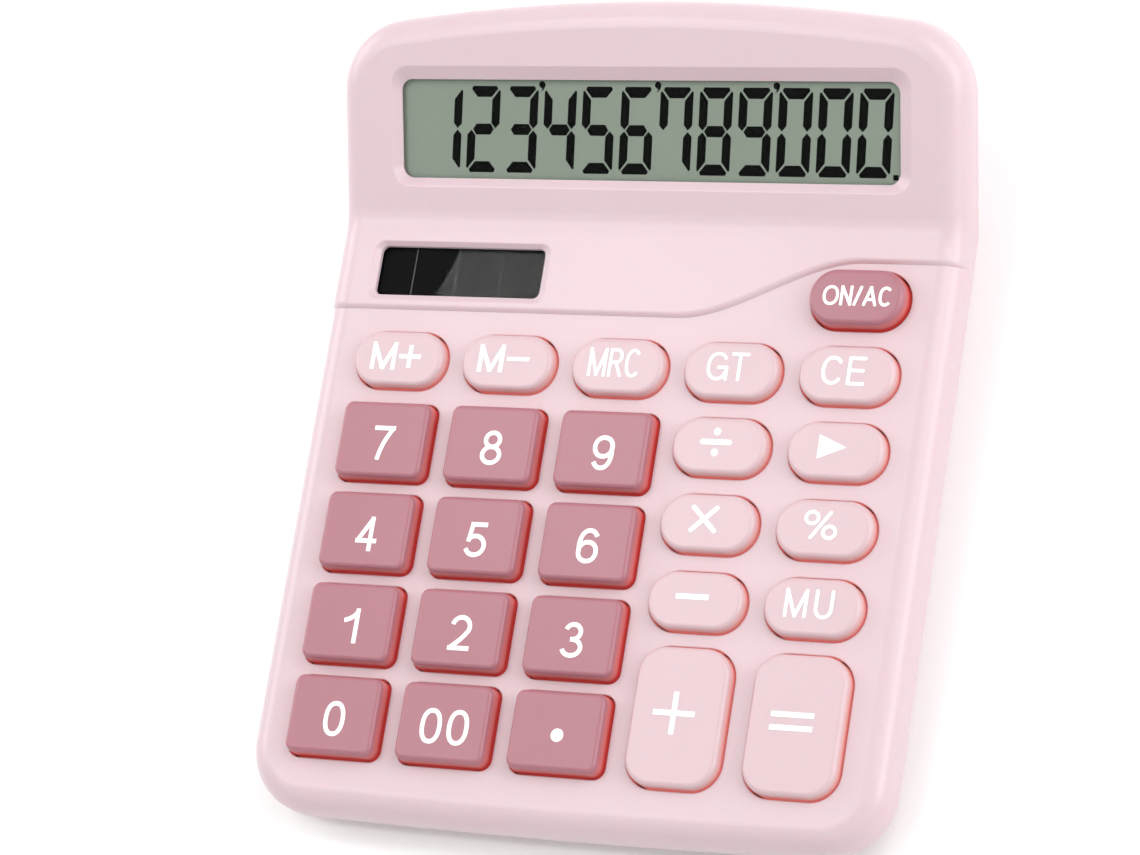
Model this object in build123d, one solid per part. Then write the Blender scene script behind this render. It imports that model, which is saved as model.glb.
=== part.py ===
from build123d import *
import os
from math import cos, radians, sin, tan

os.makedirs("parts", exist_ok=True)

# Desk calculator. Millimetres, +X to the right, +Y to the rear, +Z up, standing on its feet at Z = 0.
# Two sloping faces carry everything: the keypad face and, behind a fold, the steeper display face.
# Places on a face are (x, y, height above the keypad field) or (x, distance up from the fold, height).

# ---- Case
BODY_WIDTH = 119.4
KEYPAD_TILT = 3.0
DISPLAY_TILT = 24.5
KEYPAD_ORIGIN_Y = -31.275
KEYPAD_ORIGIN_Z = 13.2
FRONT_Y = -42.2
FRONT_BOW = 1.0
FRONT_CORNER = 12.0
SMALLEST_CORNER = 2.5
FOLD_Y = 66.5
REAR_V = 39.3
REAR_BOW = 4.9
REAR_CORNER = 13.0
HEAD_STEP = 0.7
SKIRT_DEPTH = 7.0
SKIRT_WALL = 2.4
FACE_WALL = 1.8
TOP_EDGE_RADIUS = 4.5
FOLD_RADIUS = 11.0
STEP_SLOPE = 0.6
STEP_EDGE_RADIUS = 0.9
RECESS_LIP_RADIUS = 0.35
APERTURE_LIP_RADIUS = 0.25

# How far each face's outline runs on past the fold before the two are mitred.
OUTLINE_OVERRUN = 45.0

# ---- Stepped front edge of the head
STEP_LOW_Y = 50.2
STEP_HIGH_Y = 61.0
STEP_CURVE_START_X = 9.0
STEP_CURVE_END_X = 42.0

# ---- Lower shell
RIM_INSET = 2.6
RIM_TOP_DEPTH = 5.4
RIM_BOTTOM_DEPTH = 6.9
TUB_WALL = 2.2
TUB_DRAFT = 28.0
KEYPAD_TUB_DEPTH = 12.0
DISPLAY_TUB_DEPTH = 34.0
FOOT_STANDOFF = 1.0
FLOOR_THICKNESS = 1.8
FLOOR_TOP = FOOT_STANDOFF + FLOOR_THICKNESS
FOOT_RADIUS = 4.5
FOOT_CLEARANCE = 0.1
FOOT_SOCKET_DEPTH = 0.6
FRONT_FOOT_X = 38.0
FRONT_FOOT_Y = -30.5
REAR_FOOT_X = 33.0

# ---- Keys
COLUMN_PITCH = 21.25
SQUARE_ROW_PITCH = 16.72
MEMORY_ROW_Y = 40.46
OVAL_ROW_TOP_Y = 26.87
OVAL_ROW_PITCH = 13.735
ON_KEY_Y = 54.1
TALL_KEY_Y = -20.9
SQUARE_KEY = (17.3, 14.2, 1.8, 3.0, 6.0, 0.8)
OVAL_KEY = (17.6, 10.3, 5.0, 2.0, 6.0, 0.9)
ON_KEY = (17.6, 10.3, 5.0, 3.0, 6.0, 0.9)
TALL_KEY = (17.0, 24.4, 5.0, 2.0, 6.0, 0.9)
KEY_CLEARANCE = 0.3
KEY_ROOF = 1.4
KEY_SIDE_WALL = 1.7
FLANGE_TOP_Z = -2.0
FLANGE_BOTTOM_Z = -3.0
FLANGE_REACH = 1.0
FLANGE_WIDTH = 10.0
STEM_RADIUS = 2.0
STEM_BOTTOM_Z = -3.4
TALL_STEM_OFFSET = 6.0

# ---- Key membrane and circuit board
BOARD_TOP_Z = -6.8
BOARD_THICKNESS = 1.2
BOARD_HALF_WIDTH = 52.4
BOARD_FRONT_Y = -35.4
BOARD_REAR_Y = 58.0
SHEET_THICKNESS = 0.8
SHEET_REAR_Y = 47.3
SHEET_ARM_WIDTH = 19.5
SHEET_ARM_DEPTH = 18.0
DOME_GAP = 0.05
DOME_TOP_RADIUS = 3.0
DOME_BASE_RADIUS = 4.2
DOME_SKIN = 0.6
DOME_ROOF = 0.85
PLUNGER_RADIUS = 1.6
PLUNGER_DROP = 0.6
PILL_RADIUS = 1.5
PILL_THICKNESS = 0.4

# ---- Screws
POST_RADIUS = 1.9
BOARD_SCREW_RADIUS = 0.84
BOARD_SCREW_HEAD_RADIUS = 1.7
CASE_SCREW_RADIUS = 1.0
CASE_SCREW_HEAD_RADIUS = 1.9
CASE_BOSS_RADIUS = 1.7
CASE_PILLAR_RADIUS = 2.8
SCREW_CLEARANCE = 0.03
FRONT_SCREW_X = 49.7
FRONT_SCREW_Y = -34.4
FRONT_SEAT_Z = 5.0
FOLD_SCREW_X = 46.5
FOLD_SCREW_Y = 67.1
FOLD_SEAT_Z = 9.0
REAR_SCREW_X = 35.5
REAR_SCREW_V = 31.2
REAR_SEAT_Z = 17.0
THREAD_LENGTH = 3.4

# ---- Display
GLASS_WIDTH = 95.1
GLASS_HEIGHT = 17.7
GLASS_V = 16.77
GLASS_CORNER = 2.1
RECESS_WIDTH = 99.0
RECESS_HEIGHT = 21.5
RECESS_X = 0.6
RECESS_V = 17.35
RECESS_DEPTH = 1.6
RECESS_CORNER = 3.4
WINDOW_TOP_DEPTH = 2.0
WINDOW_THICKNESS = 0.6
CUT_DEPTH = 5.0
PANEL_TOP_DEPTH = 2.65
PANEL_THICKNESS = 1.8
HOLDER_BOTTOM_DEPTH = 6.0
RIBBON_WIDTH = 50.0
RIBBON_THICKNESS = 0.2

# ---- Solar panel
SOLAR_X = -34.44
SOLAR_Y = 57.6
SOLAR_WIDTH = 32.5
SOLAR_HEIGHT = 9.3
SOLAR_RECESS_X = -34.2
SOLAR_RECESS_Y = 57.35
SOLAR_RECESS_WIDTH = 34.9
SOLAR_RECESS_HEIGHT = 11.2
SOLAR_RECESS_DEPTH = 0.9
SOLAR_RECESS_CORNER = 2.0
SOLAR_CORNER = 1.3
SOLAR_WINDOW_TOP_DEPTH = 1.7
SOLAR_WINDOW_BOTTOM_DEPTH = 2.25
SOLAR_PANEL_TOP_DEPTH = 2.3
SOLAR_PANEL_BOTTOM_DEPTH = 3.5

# ---- Battery bay, centred on an AA cell that lies along X
CELL_RADIUS = 7.25
CELL_BODY_LENGTH = 49.5
CELL_NUB_LENGTH = 1.0
CELL_NUB_RADIUS = 2.6
CELL_X = 1.2
BAY_Y = 57.2
BAY_AXIS_Z = 10.25
BAY_RADIUS = 7.6
BAY_LEFT_X = -29.7
BAY_RIGHT_X = 27.0
BAY_WALL = 1.4
BAY_HALF_DEPTH = BAY_RADIUS + 0.2 + BAY_WALL
BAY_TOP_CORNER = 6.5
LEDGE_REACH = 2.4
CONTACT_THICKNESS = 0.4
CONTACT_HALF_WIDTH = 4.5
TAIL_TOP_Z = 12.9
TAIL_HALF_WIDTH = 1.8
TAIL_REACH = 1.6
SPRING_WIRE_RADIUS = 0.35
SPRING_RADIUS = 3.0
SPRING_TURNS = 4
DOOR_THICKNESS = 1.6
DOOR_HALF_WIDTH = 31.0
DOOR_FRONT_Y = 47.4
DOOR_REAR_Y = 67.0
DOOR_GAP = 0.3
HOOK_X = 20.0
HOOK_HALF_WIDTH = 3.0
HOOK_REACH = 1.8
HOOK_RISE = 1.4
WIRE_DIAMETER = 0.8

# A height over the whole object and a depth under it.
ABOVE_ALL = 60.0
BELOW_ALL = 40.0
HALF_WIDTH = BODY_WIDTH / 2
KEYPAD_SIN = sin(radians(KEYPAD_TILT))
KEYPAD_COS = cos(radians(KEYPAD_TILT))
FOLD_ANGLE = KEYPAD_TILT + DISPLAY_TILT
MITRE_ANGLE = KEYPAD_TILT + DISPLAY_TILT / 2
KEYPAD = Plane(
    origin=(0, KEYPAD_ORIGIN_Y, KEYPAD_ORIGIN_Z),
    x_dir=(1, 0, 0),
    z_dir=(0, -KEYPAD_SIN, KEYPAD_COS),
)
FOLD_POINT = KEYPAD.from_local_coords(Vector(0, FOLD_Y, HEAD_STEP))
DISPLAY = Plane(
    origin=FOLD_POINT,
    x_dir=(1, 0, 0),
    z_dir=(0, -sin(radians(FOLD_ANGLE)), cos(radians(FOLD_ANGLE))),
)
MITRE = Plane(
    origin=FOLD_POINT,
    x_dir=(1, 0, 0),
    z_dir=(0, cos(radians(MITRE_ANGLE)), sin(radians(MITRE_ANGLE))),
)

SQUARE_LEGENDS = [["7", "8", "9"], ["4", "5", "6"], ["1", "2", "3"], ["0", "00", "point"]]
MEMORY_LEGENDS = ["memory_plus", "memory_minus", "memory_recall", "grand_total", "clear_entry"]
OVAL_LEGENDS = [["divide", "backspace"], ["multiply", "percent"], ["minus", "mark_up"]]

BOARD_POSTS = [
    (-1.5 * COLUMN_PITCH, SQUARE_ROW_PITCH),
    (-1.5 * COLUMN_PITCH, -SQUARE_ROW_PITCH),
    (-0.5 * COLUMN_PITCH, 0),
    (10.4, SQUARE_ROW_PITCH),
    (10.4, -SQUARE_ROW_PITCH),
    (1.5 * COLUMN_PITCH, 20.0),
    (-46.0, 49.3),
    (28.0, 51.5),
]


def key_layout():
    """Every key: node name, x, y and its (width, height, corner, rise, draft, top edge radius)."""
    keys = []
    for row, legends in enumerate(SQUARE_LEGENDS):
        for column, legend in enumerate(legends):
            y = (1.5 - row) * SQUARE_ROW_PITCH
            keys.append(("key_" + legend, (column - 2) * COLUMN_PITCH, y, SQUARE_KEY))
    for column, legend in enumerate(MEMORY_LEGENDS):
        keys.append(("key_" + legend, (column - 2) * COLUMN_PITCH, MEMORY_ROW_Y, OVAL_KEY))
    for row, legends in enumerate(OVAL_LEGENDS):
        for column, legend in enumerate(legends):
            y = OVAL_ROW_TOP_Y - row * OVAL_ROW_PITCH
            keys.append(("key_" + legend, (column + 1) * COLUMN_PITCH, y, OVAL_KEY))
    keys.append(("key_plus", COLUMN_PITCH, TALL_KEY_Y, TALL_KEY))
    keys.append(("key_equals", 2 * COLUMN_PITCH, TALL_KEY_Y, TALL_KEY))
    keys.append(("key_on_clear", 2 * COLUMN_PITCH, ON_KEY_Y, ON_KEY))
    return keys


KEYS = key_layout()


def stem_places(x, y, size):
    """A tall key stands on two domes, every other key on one."""
    if size[1] > size[0]:
        return [(x, y - TALL_STEM_OFFSET), (x, y + TALL_STEM_OFFSET)]
    return [(x, y)]


def on_face(plane, shape):
    """Moves a shape from a face's own axes to the object's."""
    return plane.location * shape


def block(low, high):
    """An upright box between two corners."""
    size = [b - a for a, b in zip(low, high)]
    middle = [(a + b) / 2 for a, b in zip(low, high)]
    return Pos(*middle) * Box(*size)


def keypad_outline(inset):
    """The keypad's outline: a slightly bowed front edge, rounded front corners, straight sides."""
    half = HALF_WIDTH - inset
    side_y = FRONT_Y + FRONT_BOW + inset
    rear_y = FOLD_Y + OUTLINE_OVERRUN - inset
    front = ThreePointArc((-half, side_y), (0, FRONT_Y + inset), (half, side_y))
    sides = Polyline((half, side_y), (half, rear_y), (-half, rear_y), (-half, side_y))
    face = make_face(Curve() + [front, sides])
    corners = face.vertices().sort_by(Axis.Y)[:2]
    return fillet(corners, radius=max(FRONT_CORNER - inset, SMALLEST_CORNER))


def display_outline(inset):
    """The display face's outline: straight sides, rounded rear corners, a bowed rear edge."""
    half = HALF_WIDTH - inset
    side_v = REAR_V - REAR_BOW - inset
    front_v = inset - OUTLINE_OVERRUN - 20
    rear = ThreePointArc((-half, side_v), (0, REAR_V - inset), (half, side_v))
    sides = Polyline((half, side_v), (half, front_v), (-half, front_v), (-half, side_v))
    face = make_face(Curve() + [rear, sides])
    corners = face.vertices().sort_by(Axis.Y)[-2:]
    return fillet(corners, radius=max(REAR_CORNER - inset, SMALLEST_CORNER))


def keypad_slab(inset, top_z, bottom_z):
    return on_face(KEYPAD, extrude(Pos(0, 0, bottom_z) * keypad_outline(inset), top_z - bottom_z))


def display_slab(inset, top_depth, bottom_depth):
    outline = Pos(0, 0, -bottom_depth) * display_outline(inset)
    return on_face(DISPLAY, extrude(outline, bottom_depth - top_depth))


def mitred(front, rear):
    """The front piece and the rear piece, each cut off at the fold and joined there."""
    return split(front, bisect_by=MITRE, keep=Keep.BOTTOM) + split(rear, bisect_by=MITRE, keep=Keep.TOP)


def bent_slab(inset, top_depth, bottom_depth):
    """Both faces as one bent plate, between two depths below the head's surface."""
    front = keypad_slab(inset, HEAD_STEP - top_depth, HEAD_STEP - bottom_depth)
    return mitred(front, display_slab(inset, top_depth, bottom_depth))


def bent_hull(inset, top_depth):
    """Both faces as one bent block whose walls lean in by the draft below the given depth."""
    lean = tan(radians(TUB_DRAFT))
    front_inset = inset + KEYPAD_TUB_DEPTH * lean
    front_top = Pos(0, 0, HEAD_STEP - top_depth) * keypad_outline(inset)
    front_bottom = Pos(0, 0, HEAD_STEP - top_depth - KEYPAD_TUB_DEPTH) * keypad_outline(front_inset)
    rear_inset = inset + DISPLAY_TUB_DEPTH * lean
    rear_top = Pos(0, 0, -top_depth) * display_outline(inset)
    rear_bottom = Pos(0, 0, -top_depth - DISPLAY_TUB_DEPTH) * display_outline(rear_inset)
    front = on_face(KEYPAD, loft([front_top, front_bottom], ruled=True))
    rear = on_face(DISPLAY, loft([rear_top, rear_bottom], ruled=True))
    return mitred(front, rear)


def above(shape, z):
    """What of a shape lies above a level."""
    return split(shape, bisect_by=Plane.XY.offset(z), keep=Keep.TOP)


def step_region():
    """The part of the keypad plane behind the head's stepped edge."""
    left = -HALF_WIDTH - 5
    right = HALF_WIDTH + 5
    rear = FOLD_Y + 60
    third = (STEP_CURVE_END_X - STEP_CURVE_START_X) / 3
    curve = Bezier(
        (STEP_CURVE_START_X, STEP_LOW_Y),
        (STEP_CURVE_START_X + third, STEP_LOW_Y),
        (STEP_CURVE_END_X - third, STEP_HIGH_Y),
        (STEP_CURVE_END_X, STEP_HIGH_Y),
    )
    low = Line((left, STEP_LOW_Y), (STEP_CURVE_START_X, STEP_LOW_Y))
    rest = Polyline(
        (STEP_CURVE_END_X, STEP_HIGH_Y),
        (right, STEP_HIGH_Y),
        (right, rear),
        (left, rear),
        (left, STEP_LOW_Y),
    )
    return make_face(Curve() + [low, curve, rest])


def rides_over_fold(edge):
    """True of the lines that cross the top from side to side at the fold."""
    middle = KEYPAD.to_local_coords(edge.center())
    return abs(middle.X) < 1 and abs(middle.Y - FOLD_Y) < FOLD_RADIUS


def on_head_surface(edge):
    """True where an edge's whole length lies on the head's top surface."""
    for share in (0.02, 0.5, 0.98):
        point = edge @ share
        over_keypad = KEYPAD.to_local_coords(point).Z - HEAD_STEP
        over_display = DISPLAY.to_local_coords(point).Z
        if min(over_keypad, over_display) < -0.01:
            return False
    return True


def on_step_edge(edge):
    """True of the upper edge of the head's stepped front, straight and curved."""
    middle = KEYPAD.to_local_coords(edge.center())
    on_top = abs(middle.Z - HEAD_STEP) < 0.01
    along_step = STEP_LOW_Y - 0.1 < middle.Y < STEP_HIGH_Y + STEP_SLOPE + 0.1
    on_flat = abs(middle.X) < HALF_WIDTH - TOP_EDGE_RADIUS - 0.01
    return on_top and along_step and on_flat


def upper_blank():
    """The upper shell before it is hollowed: the keypad slab and, a step higher, the head."""
    field_rear = STEP_HIGH_Y + 2
    field = keypad_slab(0, 0, HEAD_STEP - SKIRT_DEPTH) & on_face(
        KEYPAD, block((-HALF_WIDTH, FRONT_Y, -SKIRT_DEPTH), (HALF_WIDTH, field_rear, HEAD_STEP))
    )
    rim = []
    for edge in field.edges():
        ends = [KEYPAD.to_local_coords(edge @ share) for share in (0, 0.5, 1)]
        if all(abs(end.Z) < 0.01 for end in ends) and ends[1].Y < field_rear - 0.01:
            rim.append(edge)
    field = fillet(rim, radius=TOP_EDGE_RADIUS)

    head = bent_slab(0, 0, SKIRT_DEPTH)
    across = [e for e in head.edges() if on_head_surface(e) and rides_over_fold(e)]
    head = fillet(across, radius=FOLD_RADIUS)
    around = [e for e in head.edges() if on_head_surface(e) and not rides_over_fold(e)]
    head = fillet(around, radius=TOP_EDGE_RADIUS)
    head = head & on_face(KEYPAD, extrude(Pos(0, 0, -60) * step_region(), 130))
    head = chamfer([e for e in head.edges() if on_step_edge(e)], length=STEP_SLOPE)
    head = fillet([e for e in head.edges() if on_step_edge(e)], radius=STEP_EDGE_RADIUS)
    return field + head


def rounded_plate(width, height, corner, top, bottom):
    """A flat plate with rounded corners, centred on its own Z axis."""
    return extrude(Pos(0, 0, bottom) * RectangleRounded(width, height, corner), top - bottom)


def sloped_recess(outer, inner, depth):
    """The tapering cut from an (x, y, width, height, corner) outline on a face to one below it."""
    outlines = []
    for outline, level in ((outer, 0), (inner, -depth)):
        x, y, width, height, corner = outline
        outlines.append(Pos(x, y, level) * RectangleRounded(width, height, corner))
    return loft(outlines, ruled=True)


def display_cut():
    """Recess, window opening and the rabbet that the window sits in from behind."""
    slope = sloped_recess(
        (RECESS_X, RECESS_V, RECESS_WIDTH, RECESS_HEIGHT, RECESS_CORNER),
        (0, GLASS_V, GLASS_WIDTH, GLASS_HEIGHT, GLASS_CORNER),
        RECESS_DEPTH,
    )
    opening = rounded_plate(GLASS_WIDTH, GLASS_HEIGHT, GLASS_CORNER, -RECESS_DEPTH / 2, -CUT_DEPTH)
    rabbet = rounded_plate(GLASS_WIDTH + 2.8, GLASS_HEIGHT + 3.0, 1.0, -WINDOW_TOP_DEPTH, -CUT_DEPTH)
    return on_face(DISPLAY, slope + Pos(0, GLASS_V, 0) * (opening + rabbet))


def solar_cut():
    """The same for the solar window, measured from the head's surface."""
    slope = sloped_recess(
        (SOLAR_RECESS_X, SOLAR_RECESS_Y, SOLAR_RECESS_WIDTH, SOLAR_RECESS_HEIGHT, SOLAR_RECESS_CORNER),
        (SOLAR_X, SOLAR_Y, SOLAR_WIDTH, SOLAR_HEIGHT, SOLAR_CORNER),
        SOLAR_RECESS_DEPTH,
    )
    opening = rounded_plate(SOLAR_WIDTH, SOLAR_HEIGHT, SOLAR_CORNER, -SOLAR_RECESS_DEPTH / 2, -CUT_DEPTH)
    rabbet = rounded_plate(SOLAR_WIDTH + 2.4, SOLAR_HEIGHT + 2.4, 0.8, -SOLAR_WINDOW_TOP_DEPTH, -CUT_DEPTH)
    return on_face(KEYPAD, Pos(0, 0, HEAD_STEP) * (slope + Pos(SOLAR_X, SOLAR_Y, 0) * (opening + rabbet)))


def within(place, x, y, half_width, half_height):
    """True of a place inside an upright rectangle about (x, y), on its edge included."""
    return abs(place.X - x) < half_width + 0.1 and abs(place.Y - y) < half_height + 0.1


def on_recess_lip(edge):
    """True of the outline of either recess where it meets the head's surface."""
    if not on_head_surface(edge):
        return False
    on_display = DISPLAY.to_local_coords(edge.center())
    on_keypad = KEYPAD.to_local_coords(edge.center())
    if within(on_display, RECESS_X, RECESS_V, RECESS_WIDTH / 2, RECESS_HEIGHT / 2):
        return True
    return within(on_keypad, SOLAR_RECESS_X, SOLAR_RECESS_Y, SOLAR_RECESS_WIDTH / 2, SOLAR_RECESS_HEIGHT / 2)


def key_aperture(x, y, size):
    width = size[0] + 2 * KEY_CLEARANCE
    height = size[1] + 2 * KEY_CLEARANCE
    corner = size[2] + KEY_CLEARANCE
    hole = rounded_plate(width, height, corner, HEAD_STEP + 1, -FACE_WALL - 1)
    return on_face(KEYPAD, Pos(x, y, 0) * hole)


def on_aperture_lip(edge):
    """True of the upper edge of a key aperture."""
    middle = KEYPAD.to_local_coords(edge.center())
    if abs(middle.Z) > 0.01:
        return False
    for _, x, y, size in KEYS:
        if abs(middle.X - x) < size[0] / 2 + 1 and abs(middle.Y - y) < size[1] / 2 + 0.7:
            return True
    return False


def case_screw_places():
    """Row-frame (x, y), the height where boss and pillar meet, and the height of the screw head's seat."""
    front = KEYPAD.from_local_coords(Vector(0, FRONT_SCREW_Y, 0)).Y
    fold = KEYPAD.from_local_coords(Vector(0, FOLD_SCREW_Y, 0)).Y
    rear = DISPLAY.from_local_coords(Vector(0, REAR_SCREW_V, -SKIRT_WALL)).Y
    places = []
    for side in (-1, 1):
        places.append((side * FRONT_SCREW_X, front, FRONT_SEAT_Z, FRONT_SEAT_Z - 1.8))
        places.append((side * FOLD_SCREW_X, fold, FOLD_SEAT_Z, FOLD_SEAT_Z - 3.5))
        places.append((side * REAR_SCREW_X, rear, REAR_SEAT_Z, REAR_SEAT_Z - 5.0))
    return places


def upright(x, y, radius, low, high):
    """An upright round bar."""
    return Pos(x, y, (low + high) / 2) * Cylinder(radius, high - low)


def board_post(x, y):
    """A post under the keypad face that the circuit board is screwed to."""
    length = -FACE_WALL + 0.3 - BOARD_TOP_Z
    post = Pos(x, y, BOARD_TOP_Z + length / 2) * Cylinder(POST_RADIUS, length)
    pilot = Pos(x, y, BOARD_TOP_Z + 2) * Cylinder(BOARD_SCREW_RADIUS + SCREW_CLEARANCE, 4)
    return on_face(KEYPAD, post - pilot)


def top_case():
    shell = upper_blank()
    cavity = bent_slab(SKIRT_WALL, HEAD_STEP + FACE_WALL, BELOW_ALL)
    bosses = []
    for x, y, seat_z, _ in case_screw_places():
        boss = upright(x, y, CASE_BOSS_RADIUS, seat_z, ABOVE_ALL)
        pilot = upright(x, y, CASE_SCREW_RADIUS + SCREW_CLEARANCE, seat_z - 1, seat_z + THREAD_LENGTH + 0.6)
        bosses.append((boss - pilot) & bent_slab(SKIRT_WALL / 2, HEAD_STEP + FACE_WALL - 0.3, BELOW_ALL))
    shell = shell - cavity
    for x, y in BOARD_POSTS:
        shell = shell + board_post(x, y)
    for boss in bosses:
        shell = shell + boss
    for _, x, y, size in KEYS:
        shell = shell - key_aperture(x, y, size)
    shell = fillet([e for e in shell.edges() if on_aperture_lip(e)], radius=APERTURE_LIP_RADIUS)
    shell = shell - display_cut() - solar_cut()
    return fillet([e for e in shell.edges() if on_recess_lip(e)], radius=RECESS_LIP_RADIUS)


def feet_places():
    """Row-frame (x, y) of the four feet."""
    front = KEYPAD.from_local_coords(Vector(0, FRONT_FOOT_Y, 0)).Y
    rear = DOOR_FRONT_Y - 2 * FOOT_RADIUS
    return [(-FRONT_FOOT_X, front), (FRONT_FOOT_X, front), (-REAR_FOOT_X, rear), (REAR_FOOT_X, rear)]


def door_opening():
    return block(
        (-DOOR_HALF_WIDTH - DOOR_GAP, DOOR_FRONT_Y - DOOR_GAP, 0),
        (DOOR_HALF_WIDTH + DOOR_GAP, DOOR_REAR_Y + DOOR_GAP, FLOOR_TOP),
    )


def bay_housing():
    """The box round the cell, rounded along its top, and a ledge round the door opening."""
    top = BAY_AXIS_Z + BAY_RADIUS + BAY_WALL
    box = block(
        (BAY_LEFT_X - BAY_WALL, BAY_Y - BAY_HALF_DEPTH, FLOOR_TOP),
        (BAY_RIGHT_X + BAY_WALL, BAY_Y + BAY_HALF_DEPTH, top),
    )
    box = fillet(box.edges().filter_by(Axis.X).sort_by(Axis.Z)[-2:], radius=BAY_TOP_CORNER)
    ledge = block(
        (-DOOR_HALF_WIDTH - LEDGE_REACH, DOOR_FRONT_Y - LEDGE_REACH, FLOOR_TOP - 0.1),
        (DOOR_HALF_WIDTH + LEDGE_REACH, DOOR_REAR_Y + 1.4, FLOOR_TOP + 1.2),
    )
    return box + ledge


def bay_cavity():
    """The room for the cell: round over its axis and open downwards."""
    length = BAY_RIGHT_X - BAY_LEFT_X
    middle = (BAY_RIGHT_X + BAY_LEFT_X) / 2
    half = BAY_HALF_DEPTH - BAY_WALL
    lower = block((BAY_LEFT_X, BAY_Y - half, 0), (BAY_RIGHT_X, BAY_Y + half, BAY_AXIS_Z - 1.5))
    upper = Pos(middle, BAY_Y, BAY_AXIS_Z) * Rot(0, 90, 0) * Cylinder(BAY_RADIUS, length)
    return lower + upper


def hook_slot(x):
    """The slot through the ledge and the bay's front wall that a door hook sits in."""
    half = HOOK_HALF_WIDTH + 0.5
    rear = BAY_Y - BAY_HALF_DEPTH + 2.5
    return block((x - half, DOOR_FRONT_Y - 3, FLOOR_TOP), (x + half, rear, FLOOR_TOP + 2.4))


def tail_slot(x):
    """The slot through an end wall of the bay that a contact's tail passes through."""
    return block(
        (x - 2.5, BAY_Y - TAIL_HALF_WIDTH - 0.4, TAIL_TOP_Z - 0.9),
        (x + 2.5, BAY_Y + TAIL_HALF_WIDTH + 0.4, TAIL_TOP_Z + 0.5),
    )


def bottom_case():
    rim = bent_slab(RIM_INSET, RIM_TOP_DEPTH, RIM_BOTTOM_DEPTH)
    tub = above(bent_hull(RIM_INSET, RIM_BOTTOM_DEPTH), FOOT_STANDOFF)
    inner_inset = RIM_INSET + TUB_WALL
    well = bent_slab(inner_inset, RIM_TOP_DEPTH - 1, RIM_BOTTOM_DEPTH + 0.01)
    inner = above(bent_hull(inner_inset, RIM_BOTTOM_DEPTH), FLOOR_TOP)
    case = rim + tub - well - inner
    case = case + bay_housing()
    for x, y, seat_z, _ in case_screw_places():
        case = case + (upright(x, y, CASE_PILLAR_RADIUS, FOOT_STANDOFF, seat_z - 0.1) & tub)
    case = case - bay_cavity() - door_opening()
    for x in (-HOOK_X, HOOK_X):
        case = case - hook_slot(x)
    for x, y, seat_z, head_z in case_screw_places():
        case = case - upright(x, y, CASE_SCREW_HEAD_RADIUS + 0.2, 0, head_z)
        case = case - upright(x, y, CASE_SCREW_RADIUS + 0.25, 0, seat_z + 1)
        case = case - upright(x, y, CASE_BOSS_RADIUS + 0.3, seat_z - 0.1, seat_z + 30)
    for x, y in feet_places():
        case = case - upright(x, y, FOOT_RADIUS + FOOT_CLEARANCE, 0, FOOT_STANDOFF + FOOT_SOCKET_DEPTH)
    for x in (BAY_LEFT_X - BAY_WALL - 1, BAY_RIGHT_X + BAY_WALL + 1):
        case = case - tail_slot(x)
    notch_y = DOOR_REAR_Y + DOOR_GAP
    return case - block((-6, notch_y - 0.1, 0), (6, notch_y + 1.8, FOOT_STANDOFF + 0.8))


def battery_door():
    """A flat lid with two hooks along its front edge and a tongue near its rear edge."""
    top = FOOT_STANDOFF + DOOR_THICKNESS
    plate = block((-DOOR_HALF_WIDTH, DOOR_FRONT_Y, FOOT_STANDOFF), (DOOR_HALF_WIDTH, DOOR_REAR_Y, top))
    plate = fillet(plate.edges().filter_by(Axis.Z), radius=0.8)
    for rib in range(5):
        y = DOOR_REAR_Y - 2.2 - 1.4 * rib
        plate = plate - Pos(0, y, FOOT_STANDOFF) * Rot(0, 90, 0) * Cylinder(0.35, 14)
    for x in (-HOOK_X, HOOK_X):
        left = x - HOOK_HALF_WIDTH
        right = x + HOOK_HALF_WIDTH
        rear = DOOR_FRONT_Y + 1.2
        plate = plate + block((left, DOOR_FRONT_Y, top), (right, rear, top + HOOK_RISE))
        plate = plate + block((left, DOOR_FRONT_Y - HOOK_REACH, top + 0.4), (right, rear, top + HOOK_RISE))
    tongue_y = BAY_Y + 5.8
    return plate + block((-5, tongue_y, top), (5, tongue_y + 1.1, top + 2.4))


def key_cap(x, y, size):
    """A hollow cap: rounded top, short flanges that catch under the face, a stem for each dome."""
    width, height, corner, rise, draft, edge = size
    top = extrude(RectangleRounded(width, height, corner), rise, taper=draft)
    top = fillet(top.faces().sort_by(Axis.Z)[-1].edges(), radius=edge)
    skirt = rounded_plate(width, height, corner, 0, FLANGE_BOTTOM_Z)
    flange_half = height / 2 + FLANGE_REACH
    flange = block(
        (-FLANGE_WIDTH / 2, -flange_half, FLANGE_BOTTOM_Z), (FLANGE_WIDTH / 2, flange_half, FLANGE_TOP_Z)
    )
    hollow = rounded_plate(
        width - 2 * KEY_SIDE_WALL,
        height - 2 * KEY_SIDE_WALL,
        max(corner - KEY_SIDE_WALL, 0.6),
        rise - KEY_ROOF,
        FLANGE_BOTTOM_Z - 1,
    )
    cap = top + skirt + flange - hollow
    for stem_x, stem_y in stem_places(0, 0, size):
        cap = cap + upright(stem_x, stem_y, STEM_RADIUS, STEM_BOTTOM_Z, rise - KEY_ROOF)
    return on_face(KEYPAD, Pos(x, y, 0) * cap)


def dome_places():
    places = []
    for _, x, y, size in KEYS:
        places.extend(stem_places(x, y, size))
    return places


def sheet_outline():
    """The membrane covers the keys, with an arm at the right for the ON key."""
    depth = SHEET_REAR_Y - BOARD_FRONT_Y
    field = Pos(0, SHEET_REAR_Y - depth / 2) * RectangleRounded(2 * BOARD_HALF_WIDTH - 1, depth - 1, 5)
    arm = RectangleRounded(SHEET_ARM_WIDTH, SHEET_ARM_DEPTH, 3)
    return field + Pos(2 * COLUMN_PITCH - 0.3, SHEET_REAR_Y + 2.7) * arm


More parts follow.
